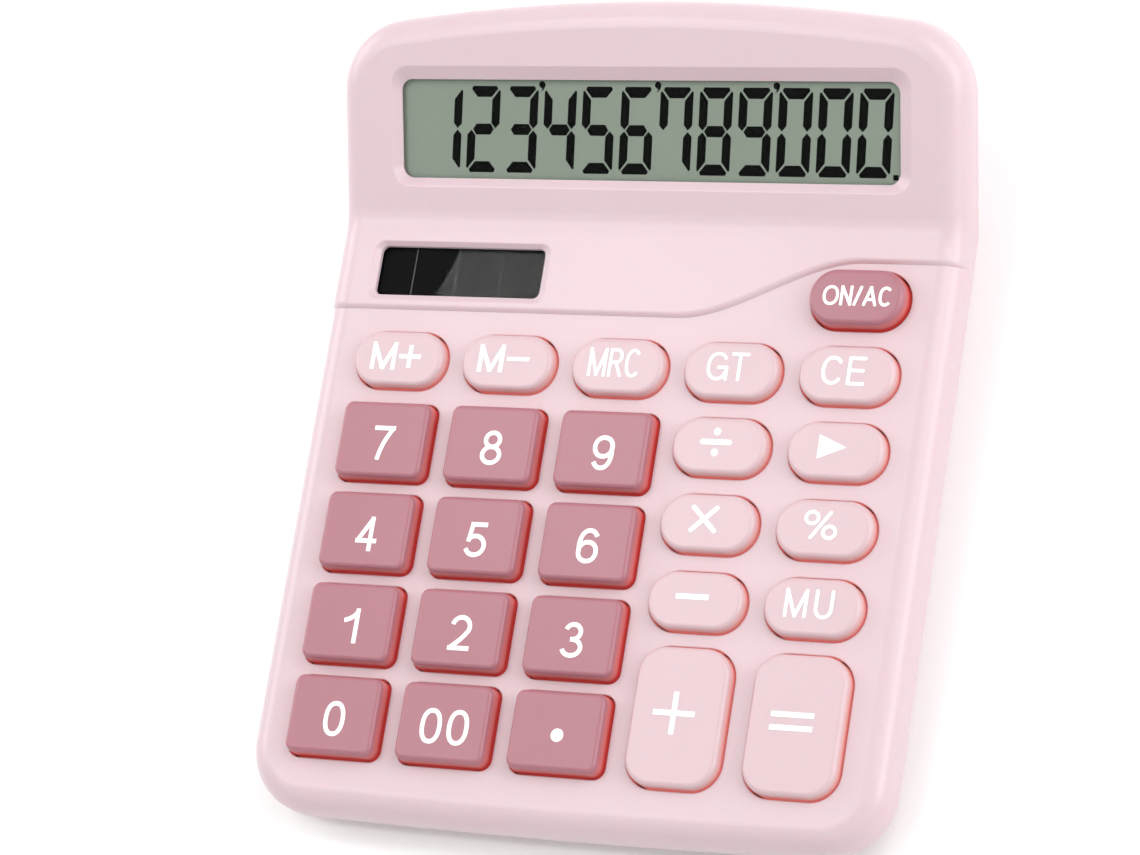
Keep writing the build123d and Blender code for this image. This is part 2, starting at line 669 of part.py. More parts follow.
def key_membrane():
    """A rubber sheet with a hollow dome under every stem."""
    sheet_top = BOARD_TOP_Z + SHEET_THICKNESS
    dome_top = STEM_BOTTOM_Z - DOME_GAP
    sheet = extrude(Pos(0, 0, BOARD_TOP_Z) * sheet_outline(), SHEET_THICKNESS)
    rise = dome_top - sheet_top
    shell = Pos(0, 0, sheet_top + rise / 2) * Cone(DOME_BASE_RADIUS, DOME_TOP_RADIUS, rise)
    inner_top = dome_top - DOME_ROOF
    inner_rise = inner_top - BOARD_TOP_Z
    hollow = Pos(0, 0, BOARD_TOP_Z + inner_rise / 2) * Cone(
        DOME_BASE_RADIUS - DOME_SKIN, DOME_TOP_RADIUS - DOME_SKIN, inner_rise
    )
    plunger = Pos(0, 0, inner_top - PLUNGER_DROP / 2) * Cylinder(PLUNGER_RADIUS, PLUNGER_DROP)
    for x, y in dome_places():
        sheet = sheet + Pos(x, y, 0) * shell - Pos(x, y, 0) * hollow + Pos(x, y, 0) * plunger
    for x, y in BOARD_POSTS:
        sheet = sheet - Pos(x, y, BOARD_TOP_Z) * Cylinder(POST_RADIUS + 0.4, 4)
    for x, y, _, _ in case_screw_places():
        local = KEYPAD.to_local_coords(Vector(x, y, BOARD_TOP_Z + KEYPAD_ORIGIN_Z))
        sheet = sheet - Pos(local.X, local.Y, BOARD_TOP_Z) * Cylinder(CASE_PILLAR_RADIUS + 0.6, 4)
    return on_face(KEYPAD, sheet)


def carbon_pills():
    """The conductive disc under every dome's plunger."""
    top = STEM_BOTTOM_Z - DOME_GAP - DOME_ROOF - PLUNGER_DROP
    pill = Pos(0, 0, top - PILL_THICKNESS / 2) * Cylinder(PILL_RADIUS, PILL_THICKNESS)
    return [on_face(KEYPAD, Pos(x, y, 0) * pill) for x, y in dome_places()]


def main_circuit_board():
    depth = BOARD_REAR_Y - BOARD_FRONT_Y
    middle_y = (BOARD_REAR_Y + BOARD_FRONT_Y) / 2
    board = Pos(0, middle_y, 0) * rounded_plate(
        2 * BOARD_HALF_WIDTH, depth, 4, BOARD_TOP_Z, BOARD_TOP_Z - BOARD_THICKNESS
    )
    for x, y in BOARD_POSTS:
        board = board - Pos(x, y, BOARD_TOP_Z) * Cylinder(BOARD_SCREW_RADIUS + 0.2, 4)
    for x, y, _, _ in case_screw_places():
        local = KEYPAD.to_local_coords(Vector(x, y, BOARD_TOP_Z + KEYPAD_ORIGIN_Z))
        board = board - Pos(local.X, local.Y, BOARD_TOP_Z) * Cylinder(CASE_PILLAR_RADIUS + 0.5, 4)
    return on_face(KEYPAD, board)


def screw(shank_radius, head_radius, head_height, length):
    """A pan-head screw, head down, with the head's upper face at Z = 0 and a cross slot."""
    head = Pos(0, 0, -head_height / 2) * Cylinder(head_radius, head_height)
    head = fillet(head.edges().sort_by(Axis.Z)[0], radius=head_height * 0.4)
    shank = Pos(0, 0, length / 2 - 0.1) * Cylinder(shank_radius, length + 0.2)
    slot = Pos(0, 0, -head_height) * (Box(head_radius * 1.2, 0.5, 1.0) + Box(0.5, head_radius * 1.2, 1.0))
    return head + shank - slot


def board_screws():
    fastener = screw(BOARD_SCREW_RADIUS, BOARD_SCREW_HEAD_RADIUS, 1.0, 4.4)
    return [on_face(KEYPAD, Pos(x, y, BOARD_TOP_Z - BOARD_THICKNESS) * fastener) for x, y in BOARD_POSTS]


def case_screws():
    screws = []
    for x, y, seat_z, head_z in case_screw_places():
        length = seat_z - head_z + THREAD_LENGTH
        screws.append(Pos(x, y, head_z) * screw(CASE_SCREW_RADIUS, CASE_SCREW_HEAD_RADIUS, 1.5, length))
    return screws


def rubber_feet():
    feet = []
    for x, y in feet_places():
        foot = upright(x, y, FOOT_RADIUS, 0, FOOT_STANDOFF + FOOT_SOCKET_DEPTH)
        feet.append(fillet(foot.edges().sort_by(Axis.Z)[0], radius=0.4))
    return feet


def display_window():
    bottom = -WINDOW_TOP_DEPTH - WINDOW_THICKNESS
    plate = rounded_plate(GLASS_WIDTH + 2.4, GLASS_HEIGHT + 2.6, 0.8, -WINDOW_TOP_DEPTH - 0.01, bottom)
    return on_face(DISPLAY, Pos(0, GLASS_V, 0) * plate)


def display_panel():
    bottom = -PANEL_TOP_DEPTH - PANEL_THICKNESS
    panel = rounded_plate(GLASS_WIDTH + 2.4, GLASS_HEIGHT + 3.2, 0.3, -PANEL_TOP_DEPTH, bottom)
    return on_face(DISPLAY, Pos(0, GLASS_V, 0) * panel)


def display_holder():
    """The frame behind the panel, open at the back and notched at the front for the ribbon."""
    rear_face = -PANEL_TOP_DEPTH - PANEL_THICKNESS - 0.05
    frame = rounded_plate(GLASS_WIDTH + 6.4, GLASS_HEIGHT + 7.0, 1.0, -2.55, -HOLDER_BOTTOM_DEPTH)
    pocket = rounded_plate(GLASS_WIDTH + 2.9, GLASS_HEIGHT + 3.7, 0.4, -2, rear_face)
    window = rounded_plate(GLASS_WIDTH - 6, GLASS_HEIGHT - 5, 1.0, 0, -HOLDER_BOTTOM_DEPTH - 1)
    notch = Pos(0, -8.5, -5.6) * Box(RIBBON_WIDTH + 2, 9, 2.3)
    holder = on_face(DISPLAY, Pos(0, GLASS_V, 0) * (frame - pocket - window - notch))
    for x, y, _, _ in case_screw_places():
        holder = holder - upright(x, y, CASE_BOSS_RADIUS + 0.5, 0, 60)
    return holder


def display_ribbon():
    """A thin printed film, bonded to the back of the panel at one end and to the board at the other."""
    panel_back = PANEL_TOP_DEPTH + PANEL_THICKNESS + RIBBON_THICKNESS
    board_z = BOARD_TOP_Z + RIBBON_THICKNESS
    start = DISPLAY.from_local_coords(Vector(0, 9.6, -panel_back))
    leave = DISPLAY.from_local_coords(Vector(0, 2.4, -panel_back))
    land = KEYPAD.from_local_coords(Vector(0, 64.0, board_z))
    end = KEYPAD.from_local_coords(Vector(0, 53.5, board_z))
    path = FilletPolyline(start, leave, land, end, radius=3.0)
    across = Plane(origin=start, x_dir=(1, 0, 0), z_dir=path % 0)
    return sweep(across * Rectangle(RIBBON_WIDTH, RIBBON_THICKNESS), path=path)


def solar_window():
    top = -SOLAR_WINDOW_TOP_DEPTH - 0.01
    plate = rounded_plate(SOLAR_WIDTH + 2.0, SOLAR_HEIGHT + 2.0, 0.6, top, -SOLAR_WINDOW_BOTTOM_DEPTH)
    return on_face(KEYPAD, Pos(SOLAR_X, SOLAR_Y, HEAD_STEP) * plate)


def solar_panel():
    top = -SOLAR_PANEL_TOP_DEPTH
    panel = rounded_plate(SOLAR_WIDTH + 2.0, SOLAR_HEIGHT + 2.0, 0.3, top, -SOLAR_PANEL_BOTTOM_DEPTH)
    return on_face(KEYPAD, Pos(SOLAR_X, SOLAR_Y, HEAD_STEP) * panel)


def chip_cover():
    """The low round blob of resin over the chip, on the board's underside."""
    blob = Cylinder(7.0, 1.6)
    blob = fillet(blob.edges().sort_by(Axis.Z)[0], radius=1.3)
    return on_face(KEYPAD, Pos(0, 24.0, BOARD_TOP_Z - BOARD_THICKNESS - 0.8) * blob)


def chip_resistors():
    resistors = []
    for index in range(4):
        place = Pos(14.0 + 4.0 * index, 27.0, BOARD_TOP_Z - BOARD_THICKNESS - 0.3)
        resistors.append(on_face(KEYPAD, place * Box(1.2, 2.0, 0.6)))
    return resistors


def board_capacitor():
    can = Rot(0, 90, 0) * Cylinder(1.9, 7.0)
    return on_face(KEYPAD, Pos(-14.0, 50.7, BOARD_TOP_Z + 1.95) * can)


def lying(left, radius, length):
    """A round bar along X on the cell's axis."""
    return Pos(left + length / 2, BAY_Y, BAY_AXIS_Z) * Rot(0, 90, 0) * Cylinder(radius, length)


def battery_cell():
    """An AA cell with its positive end to the right."""
    left = CELL_X - (CELL_BODY_LENGTH + CELL_NUB_LENGTH) / 2
    body = fillet(lying(left, CELL_RADIUS, CELL_BODY_LENGTH).edges(), radius=0.5)
    return body + lying(left + CELL_BODY_LENGTH - 1, CELL_NUB_RADIUS, CELL_NUB_LENGTH + 1)


def contact(left, tail_end):
    """A flat plate across one end of the bay, with a tail through the wall to the given X."""
    right = left + CONTACT_THICKNESS
    plate = block(
        (left, BAY_Y - CONTACT_HALF_WIDTH, BAY_AXIS_Z - CONTACT_HALF_WIDTH),
        (right, BAY_Y + CONTACT_HALF_WIDTH, TAIL_TOP_Z),
    )
    tail = block(
        (min(left, tail_end), BAY_Y - TAIL_HALF_WIDTH, TAIL_TOP_Z - CONTACT_THICKNESS),
        (max(right, tail_end), BAY_Y + TAIL_HALF_WIDTH, TAIL_TOP_Z),
    )
    return plate + tail


def positive_contact():
    return contact(BAY_RIGHT_X - CONTACT_THICKNESS - 0.05, BAY_RIGHT_X + BAY_WALL + TAIL_REACH)


def negative_contact():
    return contact(BAY_LEFT_X + 0.05, BAY_LEFT_X - BAY_WALL - TAIL_REACH)


def negative_spring():
    """A coil spring along X between the left contact and the cell's flat end."""
    left = BAY_LEFT_X + CONTACT_THICKNESS + 0.1 + SPRING_WIRE_RADIUS
    right = CELL_X - (CELL_BODY_LENGTH + CELL_NUB_LENGTH) / 2 - SPRING_WIRE_RADIUS - 0.05
    coil = Helix(pitch=(right - left) / SPRING_TURNS, height=right - left, radius=SPRING_RADIUS)
    section = Plane(origin=coil @ 0, z_dir=coil % 0) * Circle(SPRING_WIRE_RADIUS)
    return Pos(left, BAY_Y, BAY_AXIS_Z) * Rot(0, 90, 0) * sweep(section, path=coil, is_frenet=True)


def wire_along(points):
    """A round wire along straight runs joined by arcs as large as the runs allow."""
    radii = []
    for before, corner, after in zip(points, points[1:], points[2:]):
        first = corner - before
        second = after - corner
        half_turn = radians(first.get_angle(second)) / 2
        radii.append(0.45 * min(first.length, second.length) / tan(half_turn))
    path = FilletPolyline(*points, radius=radii)
    section = Plane(origin=points[0], z_dir=path % 0) * Circle(WIRE_DIAMETER / 2)
    return sweep(section, path=path)


def solar_wire(x):
    points = [
        KEYPAD.from_local_coords(Vector(x, 60.5, -3.1)),
        KEYPAD.from_local_coords(Vector(x + 0.4, 59.6, -4.2)),
        KEYPAD.from_local_coords(Vector(x + 1.0, 57.0, -5.3)),
        KEYPAD.from_local_coords(Vector(x + 1.2, 56.2, BOARD_TOP_Z + 0.25)),
    ]
    return wire_along(points)


def battery_wire(side):
    """From a contact's tail to the rear edge of the board; side is -1 at the left, 1 at the right."""
    tail_x = BAY_RIGHT_X + BAY_WALL + TAIL_REACH + 0.05
    if side < 0:
        tail_x = -(BAY_LEFT_X - BAY_WALL - TAIL_REACH - 0.05)
    on_board = Vector(side * (tail_x - 0.5), BOARD_REAR_Y - 1.3, BOARD_TOP_Z + 0.45)
    points = [
        Vector(side * tail_x, BAY_Y, TAIL_TOP_Z - CONTACT_THICKNESS / 2),
        Vector(side * (tail_x + 3.5), BAY_Y - 1.0, 12.6),
        Vector(side * (tail_x + 5.0), BAY_Y - 6.5, 12.0),
        Vector(side * (tail_x + 4.0), BAY_Y - 15.5, 11.4),
        Vector(side * (tail_x + 1.6), BAY_Y - 24.0, 11.8),
        Vector(side * (tail_x + 0.2), BAY_Y - 28.0, 11.0),
        KEYPAD.from_local_coords(on_board),
    ]
    return wire_along(points)


def write(node, shapes):
    """Writes one node; a list is a group of separate identical pieces."""
    if isinstance(shapes, list):
        shapes = Compound(children=shapes)
    export_step(shapes, "parts/" + node + ".step")


for name, key_x, key_y, key_size in KEYS:
    write(name, key_cap(key_x, key_y, key_size))

write("top_case", top_case())
write("bottom_case", bottom_case())
write("battery_door", battery_door())
write("display_window", display_window())
write("display_panel", display_panel())
write("display_holder", display_holder())
write("display_ribbon", display_ribbon())
write("solar_window", solar_window())
write("solar_panel", solar_panel())
write("key_membrane", key_membrane())
write("carbon_pills", carbon_pills())
write("main_circuit_board", main_circuit_board())
write("chip_cover", chip_cover())
write("chip_resistors", chip_resistors())
write("board_capacitor", board_capacitor())
write("board_screws", board_screws())
write("case_screws", case_screws())
write("rubber_feet", rubber_feet())
write("battery_cell", battery_cell())
write("positive_contact", positive_contact())
write("negative_contact", negative_contact())
write("negative_spring", negative_spring())
write("solar_wire_red", solar_wire(-30.0))
write("solar_wire_black", solar_wire(-49.0))
write("battery_wire_red", battery_wire(1))
write("battery_wire_black", battery_wire(-1))
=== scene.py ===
import math

import bmesh
import bpy
from mathutils import Matrix, Vector
from mathutils.geometry import delaunay_2d_cdt


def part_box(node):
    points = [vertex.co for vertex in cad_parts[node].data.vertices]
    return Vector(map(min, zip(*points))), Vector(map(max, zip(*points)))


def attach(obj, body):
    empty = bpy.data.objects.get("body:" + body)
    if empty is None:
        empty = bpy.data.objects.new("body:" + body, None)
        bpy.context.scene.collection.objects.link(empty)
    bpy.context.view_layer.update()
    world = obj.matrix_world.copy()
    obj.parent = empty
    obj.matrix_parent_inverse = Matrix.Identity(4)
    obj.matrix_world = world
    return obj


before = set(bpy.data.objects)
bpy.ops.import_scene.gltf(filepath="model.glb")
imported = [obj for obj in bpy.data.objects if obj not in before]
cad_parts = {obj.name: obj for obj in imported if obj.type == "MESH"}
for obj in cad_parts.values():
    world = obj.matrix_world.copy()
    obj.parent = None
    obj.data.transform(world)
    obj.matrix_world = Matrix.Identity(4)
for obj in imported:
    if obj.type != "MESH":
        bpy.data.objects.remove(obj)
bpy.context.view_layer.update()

# The looks of a pink desk calculator: plastics, printed key legends, the display's digits, light and camera.
# Blender works in metres. Small sizes are written in millimetres and multiplied by MM.
MM = 0.001

# ---- The two sloping faces of the case, as turns about X
KEYPAD_TILT = 3.0
KEYPAD_FACE = Matrix.Rotation(math.radians(KEYPAD_TILT), 4, "X")
DISPLAY_FACE = Matrix.Rotation(math.radians(27.5), 4, "X")

# ---- Keys, in millimetres
PALE_KEY_RISE = 2.0
ROSE_KEY_RISE = 3.0
INK_THICKNESS = 0.03
INK_SINK = 0.01

# ---- The field that holds the keys' holes, in millimetres. The ON/AC key is alone behind it, at the right.
HOLES_HALF_WIDTH = 52.2
HOLES_FRONT = -65.3
HOLES_REAR = 16.0
ON_HOLE_LEFT = 30.0
ON_HOLE_REAR = 30.0

# ---- Display, in millimetres
WINDOW_WIDTH = 95.1
WINDOW_HEIGHT = 17.7
DIGITS_SHOWN = "123456789000"
DIGIT_PITCH = 7.45
DIGIT_WIDTH = 6.25
DIGIT_HEIGHT = 15.4
DIGIT_SLANT = 0.067
DIGITS_RIGHT_MARGIN = 1.85
DIGITS_BOTTOM_MARGIN = 1.1
BAR_THICKNESS = 1.95
POST_THICKNESS = 1.6
SEGMENT_GAP = 0.14
SEGMENT_CHAMFER = 0.8
SEGMENT_THICKNESS = 0.02
POINT_SIZE = 0.95
POINT_SHIFT = (0.1, -0.35)
COMMA_SHIFT = (1.15, 0.3)
COMMA_RADIUS = 0.62
# Digits counted from the right that have a comma after them.
COMMAS_AFTER = (3, 6, 9)

# ---- Windows. A coating leaves a tenth of plain acrylic's reflection.
COATED_IOR = 1.12

# ---- Solar panel, in millimetres
SOLAR_WIDTH = 32.5
SOLAR_HEIGHT = 9.3
CELL_SHARES = (0.2, 0.46, 0.73)
CELL_GAP_WIDTH = 0.12
CELL_LINE_THICKNESS = 0.01

# ---- Battery cell: where its bands start, from the tip of the nub, in millimetres
COPPER_BAND_START = 14.0
NUB_START = 1.2

# ---- Camera, in metres
CAMERA_PLACE = Vector((0.2995, -0.2298, 0.6570))
CAMERA_AIM = Vector((-0.0073, -0.0023, 0.0160))
CAMERA_TURN = math.radians(10.73)
CAMERA_LENS = 135.5

# ---- Light. Places, sizes and distances are in metres.
LIGHT_TINT = (1.0, 0.98, 0.975)
ROOM_STRENGTH = 0.78
OBJECT_MIDDLE = (0.0, 0.0, 0.02)
# Name, way to it, distance, width, height and radiance.
SOFTBOXES = (
    ("rear_light", (0.5, 0.42, 0.8), 1.1, 0.55, 0.55, 3.0),
    ("right_light", (0.85, 0.15, 0.42), 0.95, 0.4, 0.7, 4.0),
    ("left_light", (-0.85, 0.25, 0.35), 0.95, 0.4, 0.7, 3.2),
)
FOLD_PLACE = (0.0, 0.035, 0.02)
FOLD_TILT = 15.2
SOLAR_PLACE = (-0.0344, 0.0263, 0.0155)
SOLAR_CARD_SIZE = 0.16
SOLAR_CARD_SLANT = math.radians(29.0)
SOLAR_EDGE_LEFT = 0.0052
FLOOR_HALF_WIDTH = 3.0
FLOOR_DROP = 0.05 * MM

# ---- Colours as they are on screen, 0 to 255
CASE_PINK = (208, 187, 193)
BASE_PINK = (206, 182, 188)
# Painted shade: a saturated red for the sides of the keys' holes below the field.
PAINTED_GAP_SHADE = (244, 150, 142)
ROSE = (166, 111, 122)
# Painted shade on the rose keys' sides, redder and darker towards their base.
ROSE_WALL_SHADE = (200, 106, 104)
ROSE_FOOT_SHADE = (196, 56, 52)
PALE = (205, 181, 186)
# Painted shade on the pale keys' sides, redder and darker towards their base.
PALE_WALL_SHADE = (220, 174, 172)
PALE_FOOT_SHADE = (226, 152, 146)
LCD_GREEN = (150, 161, 149)
INK_WHITE = (252, 251, 250)

# ---- Painted glow: red emission in the gaps round the keys, standing in for light through the plastic, as linear red, green and blue
PAINTED_GAP_GLOW = (0.12, 0.032, 0.028, 1.0)
ROSE_PAINTED_GLOW = (0.1, 0.016, 0.014, 1.0)
PALE_PAINTED_GLOW = (0.15, 0.06, 0.056, 1.0)


# ================================================================ helpers
def linear(colour, share=1.0):
    """A screen colour as the linear light that shaders take, lightened or darkened by share."""
    made = []
    for value in colour:
        v = value / 255
        v = v / 12.92 if v <= 0.04045 else ((v + 0.055) / 1.055) ** 2.4
        made.append(min(v * share, 1.0))
    return (*made, 1.0)


def local_box(node, face):
    """Lowest and highest corner of a node along a face's own axes, in metres."""
    turned = face.inverted()
    places = [turned @ v.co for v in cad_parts[node].data.vertices]
    low = Vector([min(p[i] for p in places) for i in range(3)])
    high = Vector([max(p[i] for p in places) for i in range(3)])
    return low, high


def add(tree, kind, settings=None, **inputs):
    """A shader node. Inputs are named with _ for a space, and take a value or another node's socket."""
    made = tree.nodes.new("ShaderNode" + kind)
    for name, value in (settings or {}).items():
        setattr(made, name, value)
    for name, value in inputs.items():
        join(tree, made.inputs[name.replace("_", " ")], value)
    return made


def join(tree, socket, value):
    if isinstance(value, bpy.types.NodeSocket):
        tree.links.new(value, socket)
    else:
        socket.default_value = value


def own_place(tree):
    """The object's own coordinates."""
    return add(tree, "TexCoord").outputs["Object"]


def noise(tree, scale, detail=2.0):
    """Solid noise over the object's own coordinates."""
    return add(tree, "TexNoise", Vector=own_place(tree), Scale=scale, Detail=detail).outputs["Fac"]


def compute(tree, operation, first, second):
    """A sum on two values, such as MULTIPLY or GREATER_THAN."""
    made = add(tree, "Math", {"operation": operation})
    join(tree, made.inputs[0], first)
    join(tree, made.inputs[1], second)
    return made.outputs[0]


def spread(tree, value, low, high):
    """Maps a value from 0..1 to low..high."""
    made = add(tree, "MapRange", Value=value)
    made.inputs["To Min"].default_value = low
    made.inputs["To Max"].default_value = high
    return made.outputs["Result"]


def blend_colours(tree, share, first, second):
    """A mix of two colours, by share from 0 to 1."""
    made = add(tree, "Mix", {"data_type": "RGBA"})
    join(tree, made.inputs[0], share)
    join(tree, made.inputs[6], first)
    join(tree, made.inputs[7], second)
    return made.outputs[2]


def tones(tree, share, first, second):
    """A mix of two screen colours, by share from 0 to 1."""
    return blend_colours(tree, share, linear(first), linear(second))


def bump(tree, height, strength, distance):
    return add(tree, "Bump", Height=height, Strength=strength, Distance=distance).outputs["Normal"]


def paint(tree, shader, colour, roughness=None, normal=None):
    """Joins what is given to the Principled shader."""
    for name, value in (("Base Color", colour), ("Roughness", roughness), ("Normal", normal)):
        if value is not None:
            join(tree, shader.inputs[name], value)


def new_material(name, **constants):
    """A material with a Principled shader, whose constant inputs are given by name."""
    material = bpy.data.materials.new(name)
    material.use_nodes = True
    shader = material.node_tree.nodes["Principled BSDF"]
    for key, value in constants.items():
        shader.inputs[key.replace("_", " ")].default_value = value
    return material, material.node_tree, shader


def dress(names, material):
    """Puts one material on CAD nodes."""
    for name in names:
        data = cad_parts[name].data
        data.materials.clear()
        data.materials.append(material)


# ================================================================ moulded plastics
def plastic_skin(tree, shader, colour, roughness, mottle=0.02, grain=0.05):
    """Colour that drifts a little over centimetres, and a moulded face's fine grain in bump and roughness."""
    drift = noise(tree, 45.0)
    flecks = noise(tree, 900.0, 3.0)
    light = blend_colours(tree, drift, linear(colour, 1.0 - mottle), linear(colour, 1.0 + mottle))
    mixed = add(tree, "Mix", {"data_type": "RGBA", "blend_type": "MULTIPLY"})
    mixed.inputs[0].default_value = 0.03
    join(tree, mixed.inputs[6], light)
    join(tree, mixed.inputs[7], flecks)
    gloss = spread(tree, flecks, roughness - 0.04, roughness + 0.05)
    paint(tree, shader, None, gloss, bump(tree, noise(tree, 5200.0), grain, 0.02 * MM))
    return mixed.outputs[2]


def axis_value(tree, axis):
    """The distance along X, Y or Z from the object's own origin, in metres."""
    return add(tree, "SeparateXYZ", Vector=own_place(tree)).outputs[axis]


def height_above(tree, low, high):
    """0 to 1 between two heights above the keypad's own plane, in metres."""
    up = KEYPAD_FACE.to_3x3() @ Vector((0, 0, 1))
    level = add(tree, "VectorMath", {"operation": "DOT_PRODUCT"})
    join(tree, level.inputs[0], own_place(tree))
    level.inputs[1].default_value = up
    made = add(tree, "MapRange", {"interpolation_type": "SMOOTHSTEP"}, Value=level.outputs["Value"])
    made.inputs["From Min"].default_value = low
    made.inputs["From Max"].default_value = high
    return made.outputs["Result"]


def between(tree, axis, low, high):
    """1 between two places along an axis, in millimetres, otherwise 0."""
    place = axis_value(tree, axis)
    above = compute(tree, "GREATER_THAN", place, low * MM)
    return compute(tree, "MULTIPLY", above, compute(tree, "LESS_THAN", place, high * MM))


def in_rectangle(tree, left, right, front, rear):
    """1 over a rectangle seen from above, in millimetres, otherwise 0."""
    return compute(tree, "MULTIPLY", between(tree, "X", left, right), between(tree, "Y", front, rear))


def case_plastic(name, colour):
    material, tree, shader = new_material(
        name, Subsurface_Weight=0.2, Subsurface_Radius=(1.0, 0.28, 0.25), Subsurface_Scale=1.0 * MM
    )
    paint(tree, shader, plastic_skin(tree, shader, colour, 0.3))
    return material


def paint_gap_glow(tree, shader, share, painted_glow):
    """A painted glow: red emission in the narrow gap round a key, standing in for light through the plastic."""
    shader.inputs["Emission Strength"].default_value = 1.0
    join(tree, shader.inputs["Emission Color"], blend_colours(tree, share, (0, 0, 0, 1), painted_glow))


def top_case_plastic():
    """The same plastic, with painted shade in red on the sides of the keys' holes below the field, and a
    painted red glow there.
    """
    material, tree, shader = new_material(
        "case_plastic", Subsurface_Weight=0.3, Subsurface_Radius=(1.0, 0.28, 0.25), Subsurface_Scale=1.4 * MM
    )
    skin = plastic_skin(tree, shader, CASE_PINK, 0.3)
    # Painted shade and a painted red glow on the sides of the holes below the field.
    under_field = height_above(tree, FIELD_TOP - 0.15 * MM, FIELD_TOP - 0.5 * MM)
    holes = in_rectangle(tree, -HOLES_HALF_WIDTH, HOLES_HALF_WIDTH, HOLES_FRONT, HOLES_REAR)
    on_hole = in_rectangle(tree, ON_HOLE_LEFT, HOLES_HALF_WIDTH, HOLES_REAR, ON_HOLE_REAR)
    share = compute(tree, "MULTIPLY", under_field, compute(tree, "MAXIMUM", holes, on_hole))
    paint(tree, shader, blend_colours(tree, share, skin, linear(PAINTED_GAP_SHADE)))
    paint_gap_glow(tree, shader, share, PAINTED_GAP_GLOW)
    return material


def key_plastic(name, colours, painted_glow, top, rise):
    """Keys' sides carry painted shade, redder and darker towards their base, and a painted red glow below the
    field's top.
    """
    material, tree, shader = new_material(
        name, Subsurface_Weight=0.35, Subsurface_Radius=(1.0, 0.25, 0.22), Subsurface_Scale=1.6 * MM
    )
    colour, wall_shade, foot_shade = colours
    skin = plastic_skin(tree, shader, colour, 0.3, grain=0.04)
    # Painted shade by height: the darkest red at the base of the sides, a lighter red higher up, then the key's
    # own colour near the top.
    low = height_above(tree, top - 1.05 * rise * MM, top - 0.6 * rise * MM)
    high = height_above(tree, top - 0.62 * rise * MM, top - 0.12 * rise * MM)
    paint(tree, shader, blend_colours(tree, high, tones(tree, low, foot_shade, wall_shade), skin))
    # Painted red glow below the field's top.
    paint_gap_glow(tree, shader, height_above(tree, FIELD_TOP, FIELD_TOP - 0.4 * MM), painted_glow)
    return material


FIELD_TOP = local_box("key_memory_plus", KEYPAD_FACE)[1].z - PALE_KEY_RISE * MM
ROSE_KEYS = ["key_" + n for n in ("0", "00", "1", "2", "3", "4", "5", "6", "7", "8", "9", "point", "on_clear")]
PALE_KEYS = [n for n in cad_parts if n.startswith("key_") and n not in ROSE_KEYS + ["key_membrane"]]


# ================================================================ clear windows and what lies under them
def clear_window():
    """Coated clear acrylic: a faint mirror by angle, and otherwise open, so what lies under it stays lit."""
    material, tree, shader = new_material("clear_acrylic")
    tree.nodes.remove(shader)
    haze = spread(tree, noise(tree, 120.0), 0.004, 0.015)
    scuffs = bump(tree, noise(tree, 90.0), 0.01, 0.001 * MM)
    gloss = add(tree, "BsdfGlossy", Roughness=haze, Normal=scuffs)
    clear = add(tree, "BsdfTransparent", Color=(0.98, 0.985, 0.98, 1.0))
    share = add(tree, "Fresnel", IOR=COATED_IOR, Normal=scuffs).outputs["Fac"]
    mixed = add(tree, "MixShader", Fac=share)
    tree.links.new(clear.outputs[0], mixed.inputs[1])
    tree.links.new(gloss.outputs[0], mixed.inputs[2])
    tree.links.new(mixed.outputs[0], tree.nodes["Material Output"].inputs["Surface"])
    return material


def display_glass():
    """The grey-green reflective film behind a liquid crystal display."""
    material, tree, shader = new_material("display_film", Specular_IOR_Level=0.1)
    cloud = noise(tree, 60.0, 3.0)
    speckle = noise(tree, 9000.0)
    base = blend_colours(tree, cloud, linear(LCD_GREEN, 0.97), linear(LCD_GREEN, 1.03))
    mixed = blend_colours(tree, spread(tree, speckle, 0.0, 0.06), base, linear((110, 120, 112)))
    paint(tree, shader, mixed, spread(tree, cloud, 0.42, 0.5))
    return material


def segment_ink():
    material, tree, shader = new_material("segment_black", Specular_IOR_Level=0.02)
    grey = noise(tree, 300.0)
    paint(tree, shader, tones(tree, grey, (8, 9, 8), (13, 15, 14)), spread(tree, grey, 0.45, 0.55))
    return material


def solar_glass():
    """Dark amorphous silicon under glass, with a faint brown and blue cast."""
    material, tree, shader = new_material("solar_silicon", Specular_IOR_Level=0.03)
    cast = tones(tree, noise(tree, 90.0), (12, 11, 12), (17, 17, 19))
    paint(tree, shader, cast, spread(tree, noise(tree, 500.0), 0.005, 0.015))
    return material


def make_cell_lines(material):
    """The thin lines that part the solar panel's cells."""
    low, high = local_box("solar_panel", KEYPAD_FACE)
    middle = (low + high) / 2 / MM
    left = middle.x - SOLAR_WIDTH / 2
    bottom = middle.y - SOLAR_HEIGHT / 2
    line = rectangle(CELL_GAP_WIDTH, SOLAR_HEIGHT)
    lines = []
    for share in CELL_SHARES:
        lines += shifted([line], left + share * SOLAR_WIDTH - CELL_GAP_WIDTH / 2, bottom)
    thickness = CELL_LINE_THICKNESS * MM
    piece = plate("solar_cell_lines", lines, KEYPAD_FACE, high.z + thickness, thickness)
    piece.data.materials.append(material)
    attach(piece, "root")


# ================================================================ parts inside and underneath
def mottled(name, dark, light, roughness, scale=300.0, **constants):
    """Two tones in soft patches, with uneven gloss and a fine uneven surface."""
    material, tree, shader = new_material(name, **constants)
    gloss = spread(tree, noise(tree, scale * 3.1), roughness - 0.07, roughness + 0.07)
    uneven = bump(tree, noise(tree, scale * 7.0), 0.12, 0.02 * MM)
    paint(tree, shader, tones(tree, noise(tree, scale, 3.0), dark, light), gloss, uneven)
    return material


def striped(tree, scale, axis):
    """0 to 1 and back in bands across an axis, in the object's own coordinates."""
    waves = add(tree, "TexWave", {"bands_direction": axis}, Vector=own_place(tree), Scale=scale, Distortion=0.0)
    return waves.outputs["Fac"]


